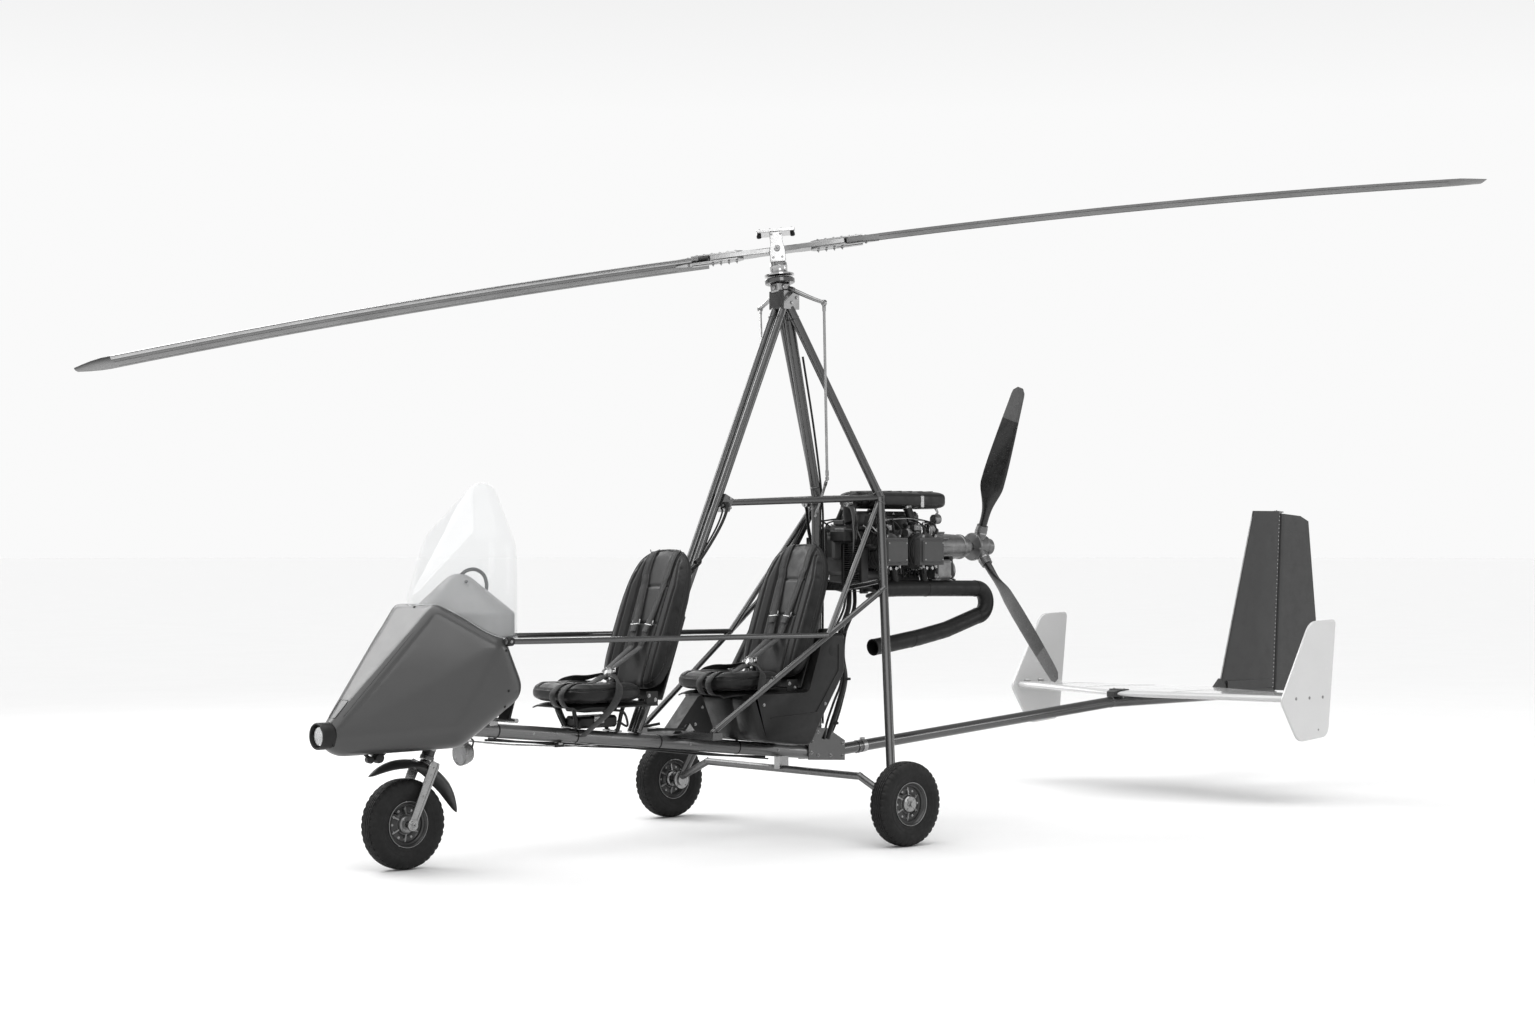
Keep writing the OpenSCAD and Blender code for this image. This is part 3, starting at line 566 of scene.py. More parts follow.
def wheel(name, c, body, out):
    """out is +1 or -1, the side that faces away from the machine, or 0 for the nose wheel."""
    k = Kit()
    prof = [(-u, r, g) for u, r, g in HALF_TYRE[:0:-1]] + HALF_TYRE
    n = 216
    rings = []
    for j in range(n):
        a = 2 * pi * j / n
        ring = []
        for u, r, g in prof:
            ph = (j + (3 if u < 0 else 0)) % 6
            if g == 2 and ph in (0, 1):
                r, u = r - 4.2, u * 0.985
            if g == 1 and ph == 3:
                r -= 2.4
            ring.append(c + Vector((r * cos(a), u, r * sin(a))) / 1000)
        rings.append(ring)
    k.rings(rings, "tyre", False, True, False)
    k.done(name + "_tread_tyre", body, "tyre", name + "_tyre", 30)
    k = Kit()
    for s in (-1, 1):      # rim halves, with bead flange, well and dished centre
        k.lathe([(0, 0.086), (0.018, 0.087), (0.024, 0.094), (0.034, 0.096), (0.038, 0.1015), (0.0435, 0.1025),
                 (0.0440, 0.1005), (0.0400, 0.0985), (0.0372, 0.094), (0.030, 0.090), (0.026, 0.083),
                 (0.018, 0.080), (0.014, 0.074), (0.013, 0.056), (0.016, 0.050), (0.021, 0.046), (0.021, 0.040)],
                c, (0, s, 0), "rim", 72, False)
        k.lathe([(0.014, 0.044), (0.030, 0.042), (0.036, 0.039), (0.0395, 0.034), (0.0395, 0.0165),
                 (0.036, 0.0135), (0.0, 0.0131)], c, (0, s, 0), "steel" if out else "rim", 48, False)
        for i in range(12):
            a = 2 * pi * i / 12
            d = Vector((cos(a), 0, sin(a)))
            k.bolt(c + d * 0.0665 + Vector((0, s * 0.0135, 0)), (0, s, 0), 0.0042, "edge_light")
        for i in range(4):
            a = 2 * pi * (i + 0.5) / 4
            d = Vector((cos(a), 0, sin(a)))
            k.bolt(c + d * 0.029 + Vector((0, s * 0.0395, 0)), (0, s, 0), 0.0036, "steel")
        for i in range(6):     # stiffening ribs on the dished centre
            a = 2 * pi * (i + 0.5) / 6
            d, t = Vector((cos(a), 0, sin(a))), Vector((-sin(a), 0, cos(a)))
            y = Vector((0, s, 0))
            k.hull([c + d * r + t * w + y * h for r, h0, h1 in ((0.043, 0.012, 0.024), (0.078, 0.012, 0.017))
                    for w in (-0.003, 0.003) for h in (h0, h1)], "rim")
    # valve stem
    d = Vector((cos(0.7), 0, sin(0.7)))
    y = Vector((0, out or 1, 0))
    k.tube([c + d * 0.082 + y * 0.020, c + d * 0.080 + y * 0.032, c + d * 0.076 + y * 0.046],
           [0.004, 0.0036, 0.003], "black_plastic", 10)
    k.done(name + "_rim_detail", body, "rim", name + "_rim", 30)


wheel("left", P(0, 0.8665, 0.200), "left_wheel", 1)
wheel("right", P(0, -0.8665, 0.200), "right_wheel", -1)
wheel("nose", P(2.250, 0, 0.200), "nose_wheel", 0)

k = Kit()      # axle ends: nut and cap, and a bolted flange inboard
for s in (-1, 1):
    e = P(0, s * 0.907, 0.200)
    k.lathe([(0.002, 0.0125), (0.006, 0.0125), (0.010, 0.009)], e, (0, s, 0), "steel", 24)
    k.lathe([(-0.012, 0.018), (0, 0.020), (0.006, 0.0195), (0.009, 0.017)], P(0, s * 0.899, 0.2), (0, s, 0), "steel",
            6)
    i = P(0, s * 0.776, 0.200)
    k.lathe([(-0.012, 0.030), (-0.012, 0.046), (-0.008, 0.0475), (0.002, 0.0475), (0.006, 0.046), (0.006, 0.030)], i,
            (0, s, 0),
            "steel", 40, False, True)
    for a in range(4):
        d = Vector((cos(a * pi / 2 + 0.78), 0, sin(a * pi / 2 + 0.78)))
        k.bolt(i + d * 0.040 + Vector((0, -s * 0.012, 0)), (0, -s, 0), 0.0042)
k.done("axle_end_nuts", "airframe", "steel")


# ---------------------------------------------------------------- nose fork, fender and steering
k = Kit()
rake = rad(20)
ax = Vector((-sin(rake), 0, cos(rake)))
piv = P(2.118, 0, 0.500)
crown = piv + ax * -0.050
for s in (-1, 1):
    top, foot = crown + Vector((0, s * 0.0736, 0)), P(2.250, s * 0.0736, 0.200)
    side = Vector((0, s, 0))
    t = (foot - top).normalized()
    w = t.cross(side).normalized()
    rings = []
    for f, hw in ((-0.06, 0.020), (0.0, 0.026), (0.12, 0.025), (0.5, 0.0225), (0.85, 0.020), (0.955, 0.021)):
        p = top.lerp(foot, f)
        sec = [(-hw, 0.0035), (-hw + 0.003, 0.0058), (-hw * 0.55, 0.0062), (-hw * 0.45, 0.0030), (hw * 0.45, 0.0030),
               (hw * 0.55, 0.0062), (hw - 0.003, 0.0058), (hw, 0.0035), (hw, -0.0045), (-hw, -0.0045)]
        rings.append([p + w * a + side * b for a, b in sec])
    k.rings(rings, "steel")
    k.lathe([(-0.0045, 0.0262), (0.005, 0.0262), (0.0065, 0.0245), (0.0065, 0.020), (0.009, 0.0185), (0.009, 0.0135)],
            foot, side, "steel", 36, True)
    k.bolt(foot + side * 0.009, side, 0.0092, nut=True)
    for f in (0.04, 0.16, 0.52):
        k.bolt(top.lerp(foot, f) + side * 0.003, side, 0.0042)
    k.bolt(top.lerp(foot, 0.30) + side * 0.0062 + w * 0.018, side, 0.0030)
k.tube([P(2.250, -0.0826, 0.200), P(2.250, 0.0826, 0.200)], 0.0124, "steel", 24)
across = Matrix((Vector((cos(rake), 0, sin(rake))), Vector((0, 1, 0)), ax)).transposed()
k.block(crown + ax * 0.0002, (0.056, 0.1372, 0.0158), "steel", across, 0.004)
for sx in (-0.018, 0.018):
    for sy in (-0.045, 0.045):
        k.bolt(crown + across @ Vector((sx, sy, 0.008)), ax, 0.0046)
k.lathe([(0.006, 0.0148), (0.17, 0.0148), (0.176, 0.013)], crown, ax, "polished", 32)
k.lathe([(0.0082, 0.027), (0.014, 0.0268), (0.0195, 0.0225), (0.0195, 0.015)], crown, ax, "steel", 36)
k.done("fork_detail", "nose_gear", "steel", "nose_fork")

k = Kit()      # steering head with bearing cups, clamp and tie-rod ends
k.lathe([(-0.0275, 0.0151), (-0.0275, 0.0318), (-0.020, 0.0324), (-0.012, 0.0324), (-0.009, 0.0290), (0.030, 0.0280),
         (0.120, 0.0280), (0.145, 0.0290), (0.148, 0.0324), (0.160, 0.0324), (0.162, 0.0300), (0.162, 0.0151)],
        piv, ax, "frame_paint", 48, False, True)
for h in (0.022, 0.10):
    k.clamp(piv + ax * h, ax, 0.0283, "steel", 0.014)
k.tube(smooth_path([piv + ax * 0.05 + Vector((0.028, 0.0, 0)), P(2.200, 0, 0.540), P(2.275, 0, 0.530)], 5), 0.011,
       "steel", 12)
k.done("steering_head_detail", "airframe", "frame_paint", "steering_neck")

k = Kit()      # linkage and foot-bar end under the pod, and the small lamp wiring
k.lathe([(-0.024, 0.014), (-0.022, 0.020), (-0.008, 0.023), (0.008, 0.023), (0.022, 0.020), (0.024, 0.014)],
        P(2.395, 0.018, 0.498), (0, 1, 0), "black_plastic", 28)
k.lathe([(-0.018, 0.010), (-0.016, 0.016), (0.016, 0.016), (0.018, 0.010)], P(2.432, 0.010, 0.492), (0.2, 1, 0),
        "black_plastic", 24)
k.hose([(2.36, 0.02, 0.520), (2.385, 0.02, 0.505), (2.43, 0.012, 0.500), (2.462, 0.0, 0.528)], 6, 0.008,
       "black_plastic", 10)
k.block(P(2.405, 0.0, 0.520), (0.070, 0.052, 0.010), "steel", None, 0.003)
for x in (2.385, 2.425):
    k.bolt(P(x, 0.014, 0.515), (0, 0, -1), 0.005)
k.done("foot_linkage", "airframe", "black_plastic")

k = Kit()      # mudguard: a crowned blade drawn to a point at each end
cw = P(2.250, 0, 0.200)
rings = []
for i in range(49):
    f = i / 48
    a = rad(50 + 124 * f)
    e = min(f, 1 - f)
    half = 0.068 * min(1.0, (e / 0.26)) ** 0.62 + 0.003
    lift = 0.014 * max(0, 1 - e / 0.10)
    rr = 0.2835 + lift * (0.3 if f > 0.5 else 0.0)
    ring = []
    for side in (1, -1):
        m = 14
        for j in range(m + 1):
            u = (2 * j / m - 1) * side
            drop = 0.030 * abs(u) ** 2.3 + (0.003 if side < 0 else 0)
            ring.append(cw + Vector(((rr - drop * (half / 0.071)) * cos(a), u * half,
                                     (rr - drop * (half / 0.071)) * sin(a))))
    rings.append(ring)
k.rings(rings, "tail_paint")
for s in (-1, 1):
    k.tube([cw + Vector((0.257 * cos(rad(a)), s * 0.060, 0.257 * sin(rad(a)))) for a in range(86, 122, 6)], 0.0035,
           "steel", 8)
k.done("mudguard", "nose_gear", "tail_paint", "nose_fender", 50)


# ---------------------------------------------------------------- pod, screen and dash
def pod_points(d=0.0):
    pts = ball((2.556, 0, 0.600), 1, 18, (0.112 - d, 0.082 - d, 0.088 - d))
    for s in (-1, 1):
        pts += ball((2.172, s * 0.130, 1.115), 0.050 - d) + ball((2.130, s * 0.190, 0.640), 0.105 - d)
        pts += ball((1.960, s * 0.265, 0.962), 0.070 - d) + ball((1.905, s * 0.235, 0.800), 0.100 - d)
    return pts


pod = hull_object("pod_body", pod_points(), "pod_paint", 0.011, 7)
cut(pod, prism("c1", [(1.5, 0.4), (1.96, 0.4), (1.905, 0.68), (1.866, 0.745), (1.852, 0.81), (1.866, 0.87),
                      (1.900, 0.937), (1.936, 1.000), (1.957, 1.0175), (2.165, 1.149), (2.185, 1.1565), (2.24, 1.160),
                      (2.24, 1.4), (1.5, 1.4)], 0.6))
nose = bmesh.new()
bmesh.ops.create_cone(nose, cap_ends=True, segments=64, radius1=0.0588, radius2=0.0588, depth=0.12,
                      matrix=Matrix.Translation(P(2.690, 0, 0.606)) @ Matrix.Rotation(pi / 2, 4, "Y"))
nc = mesh_object("c2", [v.co for v in nose.verts], [[v.index for v in f.verts] for f in nose.faces], "black_plastic")
cut(pod, nc)
neck = bmesh.new()
bmesh.ops.create_cone(neck, cap_ends=True, segments=48, radius1=0.040, radius2=0.040, depth=0.16,
                      matrix=Matrix.Translation(P(2.107, 0, 0.53)) @ Matrix.Rotation(-rake, 4, "Y"))
nc = mesh_object("c3", [v.co for v in neck.verts], [[v.index for v in f.verts] for f in neck.faces], "black_plastic")
cut(pod, nc)
k = Kit()
for loop in edge_loops(pod):
    if len(loop) > 60:
        k.tube(relax(loop, 0.022), 0.0062, "rubber_hose", 10, True)
shell(pod, 0.005)
dress(pod, "airframe", "pod_shell", 50)

from mathutils.bvhtree import BVHTree


def tree(o):
    return BVHTree.FromObject(o, bpy.context.evaluated_depsgraph_get())


bpy.context.view_layer.update()
pt = tree(pod)


def on_pod(x, y, z, d=0.001):
    loc, nor, _, _ = pt.find_nearest(P(x, y, z))
    away = (loc - P(2.1, 0, 0.8)).normalized()
    nor = nor if nor.dot(away) > 0 else -nor
    return loc + nor * d, nor


# moulding seams, the small nose hatch, screws and the screen's base line
for s in (-1, 1):
    line = [on_pod(2.185 + 0.43 * f, s * (0.149 - 0.078 * f), 1.155 - 0.455 * f,
                   0.0004)[0] for f in [i / 24 for i in range(25)]]
    k.tube(relax(line, 0.01, 2), 0.0016, "pod_paint", 8)
    for f in (0.06, 0.35, 0.65, 0.94):
        p, nor = on_pod(1.935 - 0.02 * f, s * 0.33, 0.98 - 0.30 * f, 0.0)
        k.bolt(p, nor, 0.0045, "black_plastic")
hatch = [on_pod(x, y, z, 0.0005)[0] for x, y, z in
         [(2.560, -0.034, 0.760), (2.560, 0.034, 0.760), (2.600, 0.032, 0.722), (2.632, 0.026, 0.690),
          (2.632, -0.026, 0.690),
          (2.600, -0.032, 0.722), (2.560, -0.034, 0.760)]]
k.tube([p for a, b in zip(hatch, hatch[1:]) for p in (a.lerp(b, 0.06), a.lerp(b, 0.5), a.lerp(b, 0.94))] + [hatch[0]],
       0.0018, "rubber_hose", 6)
for x, y, z in [(2.175, 0.11, 1.150), (2.205, 0.02, 1.150), (2.195, -0.08, 1.150), (2.172, 0.02, 1.160)]:
    p, nor = on_pod(x, y, z, 0.0)
    k.bolt(p, nor, 0.0045, "black_plastic")
k.done("pod_trim", "airframe", "black_plastic")


def screen_points(d):
    pts = []
    for z in (0.985, 1.200):
        pts += [P(2.052 + (0.150 - d) * cos(a), (0.150 - d) * sin(a), z) for a in [i * pi / 24 for i in range(48)]]
        for s in (-1, 1):
            pts += [P(1.925 + (0.145 - d) * cos(a), s * 0.160 + (0.145 - d) * sin(a),
                      z) for a in [i * pi / 24 for i in range(48)]]
    for s in (-1, 1):
        pts += ball((1.900, s * 0.145, 1.400), 0.130 - d)
    return pts + ball((1.830, 0, 1.630), 0.078 - d)


lip = hull_object("pod_lip", pod_points(-0.001), "black_plastic", 0.014, 4)
screen = hull_object("screen", screen_points(0.0), "clear_screen", 0.010, 12)
cut(screen, lip, True)
cut(screen, prism("c4",
                  [(1.4, 0.9), (1.944, 0.9), (1.927, 1.05), (1.885, 1.28), (1.838, 1.50), (1.790, 1.68),
                   (1.776, 1.80),
                         (1.4, 1.8)], 0.6))
b = bmesh.new()
b.from_mesh(screen.data)
bmesh.ops.delete(b, geom=[v for v in b.verts if v.co.z < 1.012], context="VERTS")
b.to_mesh(screen.data)
b.free()
k = Kit()
for loop in edge_loops(screen):
    if len(loop) > 80:
        k.tube(relax(loop, 0.02, 1), 0.0022, "lens", 8)
shell(screen, 0.003)
dress(screen, "airframe", "windshield", 60)
k.done("screen_edge", "airframe", "clear_screen")

# dash cowl: a domed hood under the screen, with a panel, dials, switches and a grab hoop
pts = [P(x, y, z) for z in (1.00, 1.125) for x, y, z in
       [(2.052 + 0.137 * cos(a), 0.137 * sin(a), z) for a in [i * pi / 24 for i in range(48)]]
       + [(1.925 + 0.131 * cos(a), s * 0.160 + 0.131 * sin(a), z) for s in (-1, 1) for a in [i * pi / 24 for i in range(48)]]]
pts += ball((1.952, 0, 1.205), 0.092) + ball((1.945, 0.085, 1.165), 0.085) + ball((1.945, -0.085, 1.165), 0.085)
cowl = hull_object("dash_cowl", pts, "cowl_grey", 0.009, 6)
cut(cowl, lip)
cut(cowl, prism("c5", [(1.4, 0.9), (1.962, 0.9), (1.948, 1.03), (1.938, 1.12), (1.930, 1.40), (1.4, 1.4)], 0.6))
b = bmesh.new()
b.from_mesh(cowl.data)
bmesh.ops.delete(b, geom=[v for v in b.verts if v.co.z < 1.02], context="VERTS")
b.to_mesh(cowl.data)
b.free()
k = Kit()
rim_loop = max(edge_loops(cowl), key=len)
rear = [p for p in rim_loop if p.x < AX + 1.975]
k.tube(relax(rear, 0.02), 0.0055, "rubber_hose", 10)
inner = relax(rear, 0.03, 3)
mid = sum(inner, Vector()) / len(inner)
for d, m in ((0.008, "black_plastic"),):
    face = [p.lerp(mid, 0.035) + Vector((d, 0, 0)) for p in inner]
    k.rings([face, [p + Vector((0.004, 0, 0)) for p in face]], m)
for y, z, r in ((0.0, 1.205, 0.036), (0.085, 1.165, 0.030), (-0.085, 1.165, 0.030), (0.045, 1.118, 0.018),
                (-0.045, 1.118, 0.018)):
    k.lathe([(0, r), (0.006, r), (0.007, r * 0.93), (0.005, r * 0.88), (0.002, r * 0.86)], P(1.946, y, z),
            (-1, 0, 0), "steel", 36)
    k.lathe([(0.0, r * 0.84), (0.0022, r * 0.84), (0.0026, r * 0.5)], P(1.946, y, z), (-1, 0, 0), "cowl_grey", 30)
    for i in range(9):
        a = rad(-130 + 260 * i / 8)
        k.block(P(1.9428, y + r * 0.68 * sin(a), z + r * 0.68 * cos(a)), (0.0008, 0.0012, r * 0.16), "black_plastic",
                Matrix.Rotation(-a, 3, "X"), 0.0003)
    k.block(P(1.9424, y, z + r * 0.22), (0.001, 0.0018, r * 0.7), "edge_light", Matrix.Rotation(0.5, 3, "X"), 0.0004)
for i in range(5):
    y = -0.10 + 0.05 * i
    k.lathe([(0, 0.007), (0.004, 0.007), (0.005, 0.004), (0.020, 0.0028), (0.024, 0.0034)], P(1.946, y, 1.075),
            (-1, 0, 0.35), "polished", 14)
k.hose([(1.955, 0.015, 1.287), (1.925, 0.02, 1.309), (1.885, 0.03, 1.314), (1.852, 0.045, 1.292),
        (1.846, 0.062, 1.250), (1.868, 0.080, 1.212), (1.925, 0.10, 1.180)], 8, 0.0085, "rubber_hose", 14)
p = P(1.985, 0.10, 1.262)
k.lathe([(-0.003, 0.009), (0.002, 0.009), (0.003, 0.006)], p, (0.45, 0.35, 0.8), "black_plastic", 20)
for s in (-1, 1):
    for y, z in ((0.235, 1.075), (0.255, 1.045)):
        k.lathe([(0, 0.005), (0.002, 0.005), (0.003, 0.003)], P(2.005, s * y, z), (0.2, s, 0.3), "black_plastic", 14)
shell(cowl, 0.003)
dress(cowl, "airframe", "instrument_cowl", 40)
k.done("dash_panel", "airframe", "black_plastic")


# ---------------------------------------------------------------- lamps


k = Kit()
c = P(2.690, 0, 0.606)
k.lathe([(-0.055, 0.050), (-0.055, 0.0585), (0.000, 0.0588), (0.006, 0.0560), (0.0065, 0.0510), (-0.002, 0.0470),
         (-0.026, 0.0445),
         (-0.030, 0.030)], c, (1, 0, 0), "black_plastic", 64)
k.lathe([(-0.034, 0.008), (-0.022, 0.026), (-0.012, 0.040)], c + Vector((0, 0.004, 0)), (1, 0, 0), "reflector", 48,
        False)
k.lathe([(-0.014, 0.0405), (-0.007, 0.0405), (-0.006, 0.036), (-0.008, 0.020), (-0.0085, 0.002)],
        c + Vector((0, 0.004, 0)), (1, 0, 0), "lens", 48)
k.lathe([(-0.030, 0.006), (-0.016, 0.006), (-0.012, 0.003)], c + Vector((0, 0.004, 0)), (1, 0, 0), "polished", 16)
u = P(1.942, 0, 0.492)
k.lathe([(-0.046, 0.030), (-0.044, 0.042), (-0.020, 0.0520), (-0.004, 0.0545), (-0.002, 0.0560), (0.006, 0.0560),
         (0.0085, 0.0535),
         (0.0085, 0.0490), (0.004, 0.0475)], u, (1, 0, 0), "lamp", 64)
k.lathe([(-0.018, 0.012), (-0.006, 0.034), (0.002, 0.0470)], u, (1, 0, 0), "reflector", 48, False)
k.lathe([(0.003, 0.0482), (0.0085, 0.0478), (0.0120, 0.036), (0.0135, 0.018), (0.0138, 0.002)], u, (1, 0, 0), "lens",
        48)
for i in range(7):
    y = -0.036 + 0.012 * i
    h = math.sqrt(max(0.0445 ** 2 - y * y, 0.0001))
    k.tube([u + Vector((0.010, y, -h)), u + Vector((0.013, y, 0)), u + Vector((0.010, y, h))], 0.0012, "lens", 6)
k.hose([(1.900, 0.030, 0.520), (1.898, 0.034, 0.548), (1.906, 0.016, 0.562)], 5, 0.004, "rubber_hose", 8)
k.block(P(1.921, 0, 0.553), (0.030, 0.030, 0.036), "steel", None, 0.003)
k.bolt(P(1.921, 0.015, 0.552), (0, 1, 0), 0.006)
k.bolt(P(1.921, -0.015, 0.552), (0, -1, 0), 0.006, nut=True)
k.done("lamp_detail", "airframe", "lamp", "lamps", 32)


# ---------------------------------------------------------------- seats
def cube_grid(n):
    """The surface of a cube from -1 to 1, n squares along each edge."""
    idx, vs, fs = {}, [], []

    def v(p):
        key = tuple(round(c * n) for c in p)
        if key not in idx:
            idx[key] = len(vs)
            vs.append(p)
        return idx[key]
    g = [2 * i / n - 1 for i in range(n + 1)]
    for ax_ in range(3):
        for s in (-1, 1):
            for i in range(n):
                for j in range(n):
                    q = []
                    for a, b in ((i, j), (i + 1, j), (i + 1, j + 1), (i, j + 1)):
                        p = [0, 0, 0]
                        p[ax_], p[(ax_ + 1) % 3], p[(ax_ + 2) % 3] = s, g[a], g[b]
                        q.append(v(tuple(p)))
                    fs.append(q if s > 0 else q[::-1])
    return vs, fs


def plump(o, voxel=0.0065, pressure=4.0, cap=0.007):
    """Cloth under pressure swells the pad, and no point may move further than cap."""
    r = o.modifiers.new("r", "REMESH")
    r.mode, r.voxel_size = "VOXEL", voxel
    apply_all(o)
    start = [v.co.copy() for v in o.data.vertices]
    c = o.modifiers.new("c", "CLOTH")
    c.settings.use_pressure = True
    c.settings.uniform_pressure_force = pressure
    c.settings.quality = 4
    c.settings.mass = 0.3
    c.settings.tension_stiffness = c.settings.compression_stiffness = 14
    c.settings.effector_weights.gravity = 0
    c.collision_settings.use_collision = False
    c.point_cache.frame_start, c.point_cache.frame_end = 1, 20
    for f in range(1, 21):
        scene.frame_set(f)
    apply_all(o)
    scene.frame_set(1)
    for v, a in zip(o.data.vertices, start):
        d = v.co - a
        if d.length > cap:
            v.co = a + d * (cap / d.length)
    s = o.modifiers.new("s", "SMOOTH")
    s.factor, s.iterations = 0.5, 3
    s = o.modifiers.new("d", "SUBSURF")
    s.levels = 1
    apply_all(o)


def sew(o, lines, deep=0.006, width=0.007):
    """Presses the seams into the swollen pad."""
    pts = [p for line in lines for p in line]
    from mathutils.kdtree import KDTree
    t = KDTree(len(pts))
    for i, p in enumerate(pts):
        t.insert(p, i)
    t.balance()
    o.data.update()
    normals = [v.normal.copy() for v in o.data.vertices]
    new = []
    for v, n in zip(o.data.vertices, normals):
        _, _, d = t.find(v.co)
        new.extend(v.co - n * (deep * math.exp(-(d / width) ** 2) if d < width * 3 else 0.0))
    o.data.vertices.foreach_set("co", new)
    o.data.update()


class Frame:
    """A seat part's own axes: forward, left and up."""

    def __init__(self, o, tilt):
        self.o = o
        self.r = Matrix(((cos(tilt), 0, -sin(tilt)), (0, 1, 0), (sin(tilt), 0, cos(tilt))))

    def __call__(self, x, y, z):
        return self.o + self.r @ Vector((x, y, z))


def ribbon(k, pts, normals, width, m, thick=0.0022):
    rings = []
    for i, p in enumerate(pts):
        t = (pts[min(i + 1, len(pts) - 1)] - pts[max(i - 1, 0)]).normalized()
        n = (normals[i] - t * normals[i].dot(t)).normalized()
        s = t.cross(n)
        w = width / 2
        rings.append([p + s * (-w) + n * thick * 0.2, p + s * (-w * 0.94) + n * thick, p + n * thick * 1.15,
                      p + s * (w * 0.94) + n * thick, p + s * w + n * thick * 0.2, p - n * 0.0004])
    k.rings(rings, m)


